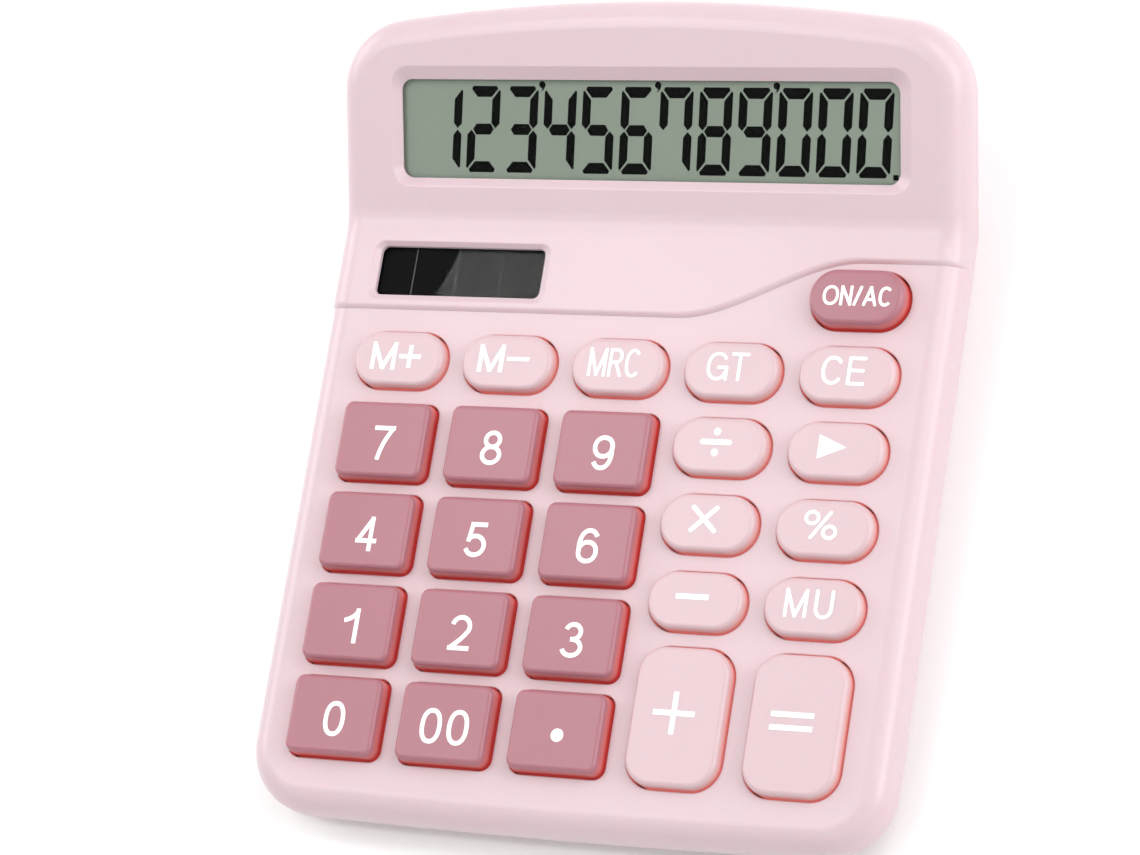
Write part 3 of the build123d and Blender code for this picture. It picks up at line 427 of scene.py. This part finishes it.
def circuit_board_lacquer():
    """Green lacquer over copper tracks that run both ways."""
    material, tree, shader = new_material("board_lacquer", Coat_Weight=0.3)
    across = compute(tree, "GREATER_THAN", striped(tree, 180.0, "X"), 0.72)
    along = compute(tree, "GREATER_THAN", striped(tree, 120.0, "Y"), 0.9)
    tracks = blend_colours(tree, noise(tree, 60.0, 1.0), across, along)
    tone = tones(tree, noise(tree, 200.0), (18, 74, 44), (24, 86, 50))
    colour = blend_colours(tree, tracks, tone, linear((52, 122, 62)))
    paint(tree, shader, colour, spread(tree, noise(tree, 900.0), 0.25, 0.4), bump(tree, tracks, 0.3, 0.03 * MM))
    return material


def ribbon_film():
    """Amber film with dark printed lines along it."""
    material, tree, shader = new_material("ribbon_amber")
    lines = striped(tree, 320.0, "X")
    amber = tones(tree, lines, (176, 104, 36), (112, 62, 26))
    paint(tree, shader, amber, spread(tree, noise(tree, 400.0), 0.25, 0.4), bump(tree, lines, 0.1, 0.02 * MM))
    return material


def cell_jacket():
    """Black printed jacket with a copper-coloured band at the positive end and a bare steel nub."""
    material, tree, shader = new_material("cell_jacket")
    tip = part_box("battery_cell")[1][0]
    x = axis_value(tree, "X")
    band = compute(tree, "GREATER_THAN", x, tip - COPPER_BAND_START * MM)
    nub = compute(tree, "GREATER_THAN", x, tip - NUB_START * MM)
    black = tones(tree, noise(tree, 150.0), (26, 26, 28), (36, 36, 39))
    banded = blend_colours(tree, band, black, linear((176, 112, 62)))
    colour = blend_colours(tree, nub, banded, linear((190, 190, 188)))
    join(tree, shader.inputs["Metallic"], band)
    paint(tree, shader, colour, spread(tree, noise(tree, 700.0), 0.2, 0.34))
    return material


def dress_inside():
    """Everything that shows only from below, with the door open, or through a gap."""
    dress(["display_holder"], case_plastic("holder_plastic", (214, 214, 209)))
    dress(["display_ribbon"], ribbon_film())
    silicone = mottled("membrane_silicone", (186, 182, 178), (204, 200, 197), 0.5, Subsurface_Weight=0.2)
    dress(["key_membrane"], silicone)
    dress(["carbon_pills"], mottled("carbon_rubber", (17, 17, 18), (27, 27, 28), 0.7, 900.0))
    dress(["main_circuit_board"], circuit_board_lacquer())
    dress(["chip_cover"], mottled("chip_resin", (9, 9, 10), (17, 17, 18), 0.2, 250.0))
    dress(["chip_resistors"], mottled("resistor_ceramic", (20, 20, 22), (60, 60, 62), 0.4, 900.0))
    dress(["board_capacitor"], mottled("capacitor_sleeve", (24, 34, 70), (34, 46, 88), 0.32, 200.0))
    steel = mottled("zinc_steel", (168, 170, 172), (206, 206, 204), 0.3, 800.0, Metallic=1.0)
    dress(["board_screws", "case_screws"], steel)
    dress(["rubber_feet"], mottled("foot_rubber", (92, 88, 88), (112, 107, 106), 0.75, 600.0))
    dress(["battery_cell"], cell_jacket())
    nickel = mottled("nickel_plate", (186, 182, 170), (220, 217, 208), 0.24, 500.0, Metallic=1.0)
    dress(["positive_contact", "negative_contact", "negative_spring"], nickel)
    for tint, dark, light in (("red", (168, 24, 22), (190, 32, 28)), ("black", (20, 20, 21), (32, 32, 33))):
        sleeve = mottled("wire_" + tint, dark, light, 0.4, 500.0)
        dress(["solar_wire_" + tint, "battery_wire_" + tint], sleeve)


# ================================================================ printed ink
def legend_ink():
    material, tree, shader = new_material("legend_ink")
    tone = noise(tree, 1500.0, 3.0)
    white = blend_colours(tree, tone, linear(INK_WHITE, 0.96), linear(INK_WHITE))
    paint(tree, shader, white, spread(tree, tone, 0.35, 0.5), bump(tree, noise(tree, 4000.0), 0.05, 0.01 * MM))
    return material


# ---- Glyphs are strokes in a box that runs 0..1 along the centre lines of its outermost strokes
def arc(centre, radii, start, end, squareness=2.0, steps=28):
    """Points on an ellipse, or on a squarer oval, from one angle to another in degrees."""
    points = []
    for step in range(steps + 1):
        angle = math.radians(start + (end - start) * step / steps)
        across, along = math.cos(angle), math.sin(angle)
        u = math.copysign(abs(across) ** (2 / squareness), across)
        v = math.copysign(abs(along) ** (2 / squareness), along)
        points.append((centre[0] + radii[0] * u, centre[1] + radii[1] * v))
    return points


def bend(start, middle, end, steps=14):
    """Points on a curve from start to end that leans towards middle."""
    points = []
    for step in range(steps + 1):
        t = step / steps
        weights = ((1 - t) ** 2, 2 * t * (1 - t), t ** 2)
        places = (start, middle, end)
        points.append(tuple(sum(w * p[i] for w, p in zip(weights, places)) for i in (0, 1)))
    return points


def turned_round(strokes):
    return [[(1 - u, 1 - v) for u, v in stroke] for stroke in strokes]


SIX = [arc((0.53, 0.5), (0.53, 0.5), 36, 200, 2.2), arc((0.5, 0.31), (0.5, 0.31), 0, 360, 2.1)]
STROKES = {
    "0": [arc((0.5, 0.5), (0.5, 0.5), 0, 360, 2.3)],
    "1": [bend((0, 0.69), (0.7, 0.76), (1, 0.98)), [(1, 0), (1, 1)]],
    "2": [
        arc((0.5, 0.7), (0.5, 0.3), 168, -28) + bend((0.9, 0.54), (0.72, 0.34), (0.04, 0.02))[1:],
        [(0, 0), (1, 0)],
    ],
    "3": [
        arc((0.48, 0.76), (0.42, 0.24), 162, -90) + [(0.36, 0.52)],
        [(0.4, 0.52)] + arc((0.48, 0.26), (0.52, 0.26), 90, -165),
    ],
    "4": [[(0.74, 0), (0.74, 1)], [(0, 0.27), (1, 0.27)], [(0.72, 0.98), (0.02, 0.29)]],
    "5": [[(0.2, 1), (0.93, 1)], [(0.2, 1), (0.08, 0.5)], arc((0.47, 0.31), (0.53, 0.31), 140, -160)],
    "6": SIX,
    "7": [[(0, 1), (1, 1)], bend((1, 1), (0.44, 0.52), (0.3, 0))],
    "8": [arc((0.5, 0.765), (0.41, 0.235), 0, 360), arc((0.5, 0.265), (0.5, 0.265), 0, 360)],
    "9": turned_round(SIX),
    "M": [[(0, 0), (0, 1)], [(0, 1), (0.5, 0)], [(0.5, 0), (1, 1)], [(1, 0), (1, 1)]],
    "N": [[(0, 0), (0, 1)], [(0, 1), (1, 0)], [(1, 0), (1, 1)]],
    "R": [
        [(0, 0), (0, 1)],
        [(0, 1)] + arc((0.52, 0.755), (0.43, 0.245), 90, -90) + [(0, 0.51)],
        [(0.5, 0.51), (0.97, 0)],
    ],
    "C": [arc((0.52, 0.5), (0.52, 0.5), 42, 318, 2.2)],
    "G": [arc((0.5, 0.5), (0.5, 0.5), 40, 336, 2.2), [(0.56, 0.46), (1, 0.46)], [(1, 0.46), (1, 0)]],
    "T": [[(0, 1), (1, 1)], [(0.5, 0), (0.5, 1)]],
    "E": [[(0, 0), (0, 1)], [(0, 0), (1, 0)], [(0, 0.52), (0.92, 0.52)], [(0, 1), (1, 1)]],
    "U": [[(0, 1)] + arc((0.5, 0.33), (0.5, 0.33), 180, 360) + [(1, 1)]],
    "O": [arc((0.5, 0.5), (0.5, 0.5), 0, 360, 2.2)],
    "A": [[(0, 0), (0.5, 1)], [(0.5, 1), (1, 0)], [(0.18, 0.3), (0.82, 0.3)]],
    "slash": [[(0, 0), (1, 1)]],
    "percent": [
        arc((0.2, 0.77), (0.2, 0.23), 0, 360),
        arc((0.8, 0.23), (0.2, 0.23), 0, 360),
        [(0.22, 0), (0.78, 1)],
    ],
    "plus": [[(0, 0.5), (1, 0.5)], [(0.5, 0), (0.5, 1)]],
    "minus": [[(0, 0), (1, 0)]],
    "times": [[(0, 0), (1, 1)], [(0, 1), (1, 0)]],
    "equals": [[(0, 0), (1, 0)], [(0, 1), (1, 1)]],
}
# Ends that stop square where they are. Every other end runs on by half a stroke, to the edge of its box.
CUT_ENDS = set("2356CG9")


def disc(centre, radius, steps=28):
    return [Vector(p) for p in arc(centre, (radius, radius), 0, 360 - 360 / steps, steps=steps - 1)]


def ribbon(points, width, run_on, round_ends):
    """Quads along a stroke, with its ends as they are, run on by half its width, or rounded."""
    points = [Vector(p) for p in points]
    closed = (points[0] - points[-1]).length < width * 0.01
    half = width / 2
    if run_on and not closed:
        points[0] = points[0] + (points[0] - points[1]).normalized() * half
        points[-1] = points[-1] + (points[-1] - points[-2]).normalized() * half
    sides = []
    last = len(points) - 1
    for i, point in enumerate(points):
        before = points[i - 1] if i else points[last - 1]
        after = points[i + 1] if i < last else points[1]
        way = Vector((0, 0))
        if i or closed:
            way += (point - before).normalized()
        if i < last or closed:
            way += (after - point).normalized()
        across = Vector((-way.y, way.x)).normalized() * half
        sides.append((point + across, point - across))
    quads = [[a[0], b[0], b[1], a[1]] for a, b in zip(sides, sides[1:])]
    if round_ends and not closed:
        quads += [disc(points[0], half), disc(points[-1], half)]
    return quads


def kept_below(polygon, height):
    """The part of a polygon at or under a height."""
    kept = []
    for a, b in zip(polygon, polygon[1:] + polygon[:1]):
        if a.y <= height:
            kept.append(a)
        if (a.y - height) * (b.y - height) < 0:
            kept.append(a + (b - a) * ((height - a.y) / (b.y - a.y)))
    return kept


def cut_to_band(polygon, height):
    """The part of a polygon between 0 and height."""
    upper = kept_below(polygon, height)
    flipped = kept_below([Vector((p.x, -p.y)) for p in upper], 0.0)
    return [Vector((p.x, -p.y)) for p in flipped]


def cut_to_box(polygon, width, height):
    """The part of a polygon between 0 and width across and 0 and height up."""
    banded = cut_to_band(polygon, height)
    swapped = cut_to_band([Vector((p.y, p.x)) for p in banded], width)
    return [Vector((p.y, p.x)) for p in swapped]


def glyph(name, width, height, stroke, round_ends=False):
    """A glyph's polygons in a box of that width and height, its lower left corner at 0, 0."""
    if name == "point":
        return [disc((width / 2, height / 2), width / 2)]
    if name == "right_arrow":
        return [[Vector((0, 0)), Vector((width, height / 2)), Vector((0, height))]]
    if name == "divide":
        dot = DIVIDE_DOT / 2
        middle = width / 2
        bar = ribbon([(stroke / 2, height / 2), (width - stroke / 2, height / 2)], stroke, False, True)
        return bar + [disc((middle, dot), dot), disc((middle, height - dot), dot)]
    polygons = []
    for points in STROKES[name]:
        placed = [(stroke / 2 + u * (width - stroke), stroke / 2 + v * (height - stroke)) for u, v in points]
        run_on = not round_ends and not (name in CUT_ENDS and len(points) > 2)
        for quad in ribbon(placed, stroke, run_on, round_ends):
            kept = cut_to_box(quad, width, height)
            if len(kept) > 2:
                polygons.append(kept)
    return polygons


# ---- Legends: glyphs with their widths and heights, the gap between glyphs and the stroke, in millimetres
DIVIDE_DOT = 1.35
DIGIT_SIZE = (4.1, 6.3)
LEGENDS = {"key_" + d: ([(d, *DIGIT_SIZE)], 0, 0.82) for d in "023456789"}
LEGENDS.update({
    "key_1": ([("1", 2.9, 6.3)], 0, 0.82),
    "key_00": ([("0", *DIGIT_SIZE), ("0", *DIGIT_SIZE)], 1.05, 0.82),
    "key_point": ([("point", 2.35, 2.35)], 0, 0.92),
    "key_memory_plus": ([("M", 4.9, 5.1), ("plus", 4.3, 4.3)], 0.55, 0.8),
    "key_memory_minus": ([("M", 4.9, 5.1), ("minus", 4.3, 0.7)], 0.6, 0.8),
    "key_memory_recall": ([("M", 3.4, 5.2), ("R", 2.7, 5.2), ("C", 2.85, 5.2)], 0.42, 0.56),
    "key_grand_total": ([("G", 4.0, 5.15), ("T", 3.4, 5.15)], 0.3, 0.6),
    "key_clear_entry": ([("C", 3.85, 5.15), ("E", 3.3, 5.15)], 0.85, 0.62),
    "key_divide": ([("divide", 5.9, 5.1)], 0, 0.98),
    "key_backspace": ([("right_arrow", 5.1, 4.3)], 0, 0.9),
    "key_multiply": ([("times", 5.1, 4.9)], 0, 0.84),
    "key_percent": ([("percent", 6.2, 5.1)], 0, 0.62),
    "key_minus": ([("minus", 6.0, 0.95)], 0, 0.95),
    "key_mark_up": ([("M", 4.1, 5.1), ("U", 3.4, 5.1)], 1.25, 0.62),
    "key_plus": ([("plus", 7.6, 7.4)], 0, 0.95),
    "key_equals": ([("equals", 7.7, 3.2)], 0, 0.92),
    "key_on_clear": (
        [("O", 2.95, 3.6), ("N", 2.2, 3.6), ("slash", 1.5, 3.6), ("A", 2.55, 3.6), ("C", 2.4, 3.6)], 0.24, 0.54
    ),
})
ROUND_LEGENDS = {"key_grand_total", "key_clear_entry", "key_multiply", "key_percent", "key_mark_up"}
# How far a legend's middle is from its key's middle.
SQUARE_SHIFT = (0.5, -0.8)
OVAL_SHIFT = (-0.55, 0.52)
LEGEND_SHIFTS = {"key_on_clear": (0.3, 0.0), "key_memory_plus": (-0.45, 0.3), "key_minus": (-0.5, 0.53)}


def anticlockwise(polygon):
    area = sum(a.x * b.y - b.x * a.y for a, b in zip(polygon, polygon[1:] + polygon[:1]))
    return polygon if area > 0 else polygon[::-1]


def plate(name, polygons, face, level, thickness):
    """A thin flat piece in the shape of all the polygons together, in millimetres on a face.

    Its top is at level, and it is thickness deep, both in metres.
    """
    corners = []
    faces = []
    for polygon in polygons:
        faces.append([len(corners) + i for i in range(len(polygon))])
        corners += [Vector((p.x, p.y)) for p in anticlockwise(polygon)]
    places, _, pieces, _, _, sources = delaunay_2d_cdt(corners, [], faces, 1, 1e-6, True)
    mesh = bmesh.new()
    verts = [mesh.verts.new((p.x * MM, p.y * MM, level)) for p in places]
    for piece, source in zip(pieces, sources):
        if source:
            mesh.faces.new([verts[i] for i in piece])
    loose = [v for v in mesh.verts if not v.link_faces]
    bmesh.ops.delete(mesh, geom=loose, context="VERTS")
    top = list(mesh.faces)
    made = bmesh.ops.extrude_face_region(mesh, geom=top, use_keep_orig=True)
    lower = [g for g in made["geom"] if isinstance(g, bmesh.types.BMVert)]
    bmesh.ops.translate(mesh, verts=lower, vec=(0, 0, -thickness))
    bmesh.ops.recalc_face_normals(mesh, faces=mesh.faces)
    data = bpy.data.meshes.new(name)
    mesh.to_mesh(data)
    mesh.free()
    data.transform(face)
    piece = bpy.data.objects.new(name, data)
    bpy.context.scene.collection.objects.link(piece)
    return piece


def shifted(polygons, x, y):
    return [[Vector((p.x + x, p.y + y)) for p in polygon] for polygon in polygons]


def rectangle(width, height):
    return [Vector(p) for p in ((0, 0), (width, 0), (width, height), (0, height))]


def make_legend(node, material):
    """The printed legend on one key, which moves with the key."""
    glyphs, gap, stroke = LEGENDS[node]
    low, high = local_box(node, KEYPAD_FACE)
    middle = (low + high) / 2 / MM
    default = SQUARE_SHIFT if node in ROSE_KEYS else OVAL_SHIFT
    shift = LEGEND_SHIFTS.get(node, default)
    width = sum(g[1] for g in glyphs) + gap * (len(glyphs) - 1)
    x = middle.x + shift[0] - width / 2
    polygons = []
    for name, glyph_width, height in glyphs:
        shape = glyph(name, glyph_width, height, stroke, node in ROUND_LEGENDS)
        polygons += shifted(shape, x, middle.y + shift[1] - height / 2)
        x += glyph_width + gap
    thickness = (INK_THICKNESS + INK_SINK) * MM
    piece = plate("legend_" + node[4:], polygons, KEYPAD_FACE, high.z + INK_THICKNESS * MM, thickness)
    piece.data.materials.append(material)
    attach(piece, node)


# ================================================================ display digits
LIT = {
    "0": "abcdef", "1": "bc", "2": "abged", "3": "abgcd", "4": "fgbc",
    "5": "afgcd", "6": "afgedc", "7": "fabc", "8": "abcdefg", "9": "abcdfg",
}


def segment(letter):
    """One of the seven segments of a digit, in a box with its lower left corner at 0, 0."""
    w, h = DIGIT_WIDTH, DIGIT_HEIGHT
    t, b, c, e = POST_THICKNESS, BAR_THICKNESS, SEGMENT_CHAMFER, SEGMENT_GAP
    middle = h / 2
    top_bar = [
        (c, h), (w - c, h), (w - c / 2 - e, h - c / 2 - e),
        (w - t - e, h - b), (t + e, h - b), (c / 2 + e, h - c / 2 - e),
    ]
    left_post = [
        (0, h - c - e), (c / 2 - e, h - c / 2 - 2 * e), (t - e, h - b - 2 * e),
        (t, h - b - 3 * e), (t, middle + b / 2 + e), (t / 2, middle + e), (0, middle + b / 2),
    ]
    middle_bar = [
        (t / 2 + 2 * e, middle), (t + e, middle + b / 2), (w - t - e, middle + b / 2),
        (w - t / 2 - 2 * e, middle), (w - t - e, middle - b / 2), (t + e, middle - b / 2),
    ]
    right = [(w - x, y) for x, y in left_post]
    shapes = {
        "a": top_bar,
        "b": right,
        "c": [(x, h - y) for x, y in right],
        "d": [(x, h - y) for x, y in top_bar],
        "e": [(x, h - y) for x, y in left_post],
        "f": left_post,
        "g": middle_bar,
    }
    return [Vector((x + DIGIT_SLANT * (y - middle), y)) for x, y in shapes[letter]]


def thousands_mark():
    """The comma that stands high between two digits."""
    head = disc((0, 0), COMMA_RADIUS)
    tail = bend((0.55, -0.05), (0.55, -0.85), (-0.35, -1.3))
    back = bend((-0.35, -1.3), (0.05, -0.85), (0.05, -0.3))
    return [head, [Vector(p) for p in tail + back[1:]]]


def make_digits(material):
    """The dark segments, which lie on the display film under the window."""
    low, high = local_box("display_panel", DISPLAY_FACE)
    middle = (low + high) / 2 / MM
    right = middle.x + WINDOW_WIDTH / 2 - DIGITS_RIGHT_MARGIN
    bottom = middle.y - WINDOW_HEIGHT / 2 + DIGITS_BOTTOM_MARGIN
    polygons = []
    for index, digit in enumerate(reversed(DIGITS_SHOWN)):
        x = right - DIGIT_WIDTH - index * DIGIT_PITCH
        for letter in LIT[digit]:
            polygons += shifted([segment(letter)], x, bottom)
        if index in COMMAS_AFTER:
            comma_x = x + DIGIT_WIDTH + COMMA_SHIFT[0]
            polygons += shifted(thousands_mark(), comma_x, bottom + DIGIT_HEIGHT + COMMA_SHIFT[1])
    point = rectangle(POINT_SIZE, POINT_SIZE)
    polygons += shifted([point], right + POINT_SHIFT[0], bottom + POINT_SHIFT[1])
    thickness = SEGMENT_THICKNESS * MM
    piece = plate("display_segments", polygons, DISPLAY_FACE, high.z + thickness, thickness)
    piece.data.materials.append(material)
    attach(piece, "root")


# ================================================================ camera, light and floor
def make_camera():
    data = bpy.data.cameras.new("camera")
    data.lens = CAMERA_LENS
    data.clip_start = 0.01
    data.clip_end = 20.0
    camera = bpy.data.objects.new("camera", data)
    bpy.context.scene.collection.objects.link(camera)
    ahead = (CAMERA_AIM - CAMERA_PLACE).normalized()
    right = ahead.cross(Vector((0, 1, 0))).normalized()
    up = right.cross(ahead)
    turned = Matrix((right, up, -ahead)).transposed().to_4x4() @ Matrix.Rotation(CAMERA_TURN, 4, "Z")
    camera.matrix_world = Matrix.Translation(CAMERA_PLACE) @ turned
    bpy.context.scene.camera = camera


def make_world():
    """A white room."""
    world = bpy.data.worlds.new("studio")
    world.use_nodes = True
    background = world.node_tree.nodes["Background"]
    background.inputs["Color"].default_value = (1.0, 0.99, 0.985, 1.0)
    background.inputs["Strength"].default_value = ROOM_STRENGTH
    bpy.context.scene.world = world


def make_softbox(name, way, aim, distance, width, height, radiance, turn=0.0, shift=(0.0, 0.0)):
    """A soft light seen from aim along way. Radiance is what a camera looking at it would see."""
    data = bpy.data.lights.new(name, "AREA")
    data.shape = "RECTANGLE"
    data.size = width
    data.size_y = height
    data.energy = radiance * math.pi * width * height
    data.color = LIGHT_TINT
    light = bpy.data.objects.new(name, data)
    light.visible_camera = False
    bpy.context.scene.collection.objects.link(light)
    back = Vector(way).normalized()
    across = (Vector((1, 0, 0)) - back * back.x).normalized()
    upward = back.cross(across)
    facing = Matrix((across, upward, back)).transposed().to_4x4()
    place = Vector(aim) + distance * back + shift[0] * across + shift[1] * upward
    light.matrix_world = Matrix.Translation(place) @ facing @ Matrix.Rotation(turn, 4, "Z")


def mirror_way(place, tilt):
    """The way in which the camera, looking at a place on a slope of that tilt in degrees, sees a reflection."""
    seen_from = (CAMERA_PLACE - Vector(place)).normalized()
    normal = Vector((0, -math.sin(math.radians(tilt)), math.cos(math.radians(tilt))))
    return 2 * seen_from.dot(normal) * normal - seen_from


def make_lights():
    """A soft light from the rear right, one from each side, and two softboxes that show as reflections."""
    for name, way, distance, width, height, radiance in SOFTBOXES:
        make_softbox(name, way, OBJECT_MIDDLE, distance, width, height, radiance)
    # Shows as the bright band along the fold.
    make_softbox("fold_strip", mirror_way(FOLD_PLACE, FOLD_TILT), FOLD_PLACE, 0.9, 0.6, 0.1, 7.0)
    # Its slanting left edge shows across the solar panel, a little left of the panel's middle.
    size, slant = SOLAR_CARD_SIZE, SOLAR_CARD_SLANT
    shift = (size / 2 * math.cos(slant) - SOLAR_EDGE_LEFT, -size / 2 * math.sin(slant))
    way = mirror_way(SOLAR_PLACE, KEYPAD_TILT)
    make_softbox("solar_card", way, SOLAR_PLACE, 0.8, size, size, 6.9, -slant, shift)


def make_floor():
    """A pale floor just under the feet, so that the two faces don't share a plane."""
    mesh = bmesh.new()
    bmesh.ops.create_grid(mesh, x_segments=8, y_segments=8, size=FLOOR_HALF_WIDTH)
    bmesh.ops.translate(mesh, verts=mesh.verts, vec=(0, 0, -FLOOR_DROP))
    data = bpy.data.meshes.new("floor")
    mesh.to_mesh(data)
    mesh.free()
    floor = bpy.data.objects.new("floor", data)
    bpy.context.scene.collection.objects.link(floor)
    material, tree, shader = new_material("floor_paper")
    tone = noise(tree, 3.0)
    pale = blend_colours(tree, tone, (0.93, 0.93, 0.93, 1.0), (0.95, 0.95, 0.95, 1.0))
    paint(tree, shader, pale, spread(tree, tone, 0.85, 0.95))
    data.materials.append(material)


def main():
    dress(["top_case"], top_case_plastic())
    dress(["bottom_case", "battery_door"], case_plastic("base_plastic", BASE_PINK))
    rose_top = local_box("key_5", KEYPAD_FACE)[1].z
    pale_top = local_box("key_divide", KEYPAD_FACE)[1].z
    # Each key's own colour, then the painted shade for its sides and their base.
    rose = (ROSE, ROSE_WALL_SHADE, ROSE_FOOT_SHADE)
    pale = (PALE, PALE_WALL_SHADE, PALE_FOOT_SHADE)
    dress(ROSE_KEYS, key_plastic("rose_key_plastic", rose, ROSE_PAINTED_GLOW, rose_top, ROSE_KEY_RISE))
    dress(PALE_KEYS, key_plastic("pale_key_plastic", pale, PALE_PAINTED_GLOW, pale_top, PALE_KEY_RISE))
    dress(["display_window", "solar_window"], clear_window())
    dress(["display_panel"], display_glass())
    dress(["solar_panel"], solar_glass())
    make_cell_lines(mottled("cell_line_grey", (100, 100, 102), (122, 122, 124), 0.4, 900.0))
    dress_inside()
    ink = legend_ink()
    for node in sorted(LEGENDS):
        make_legend(node, ink)
    make_digits(segment_ink())
    make_camera()
    make_world()
    make_lights()
    make_floor()
    bpy.context.scene.view_settings.view_transform = "Standard"


main()
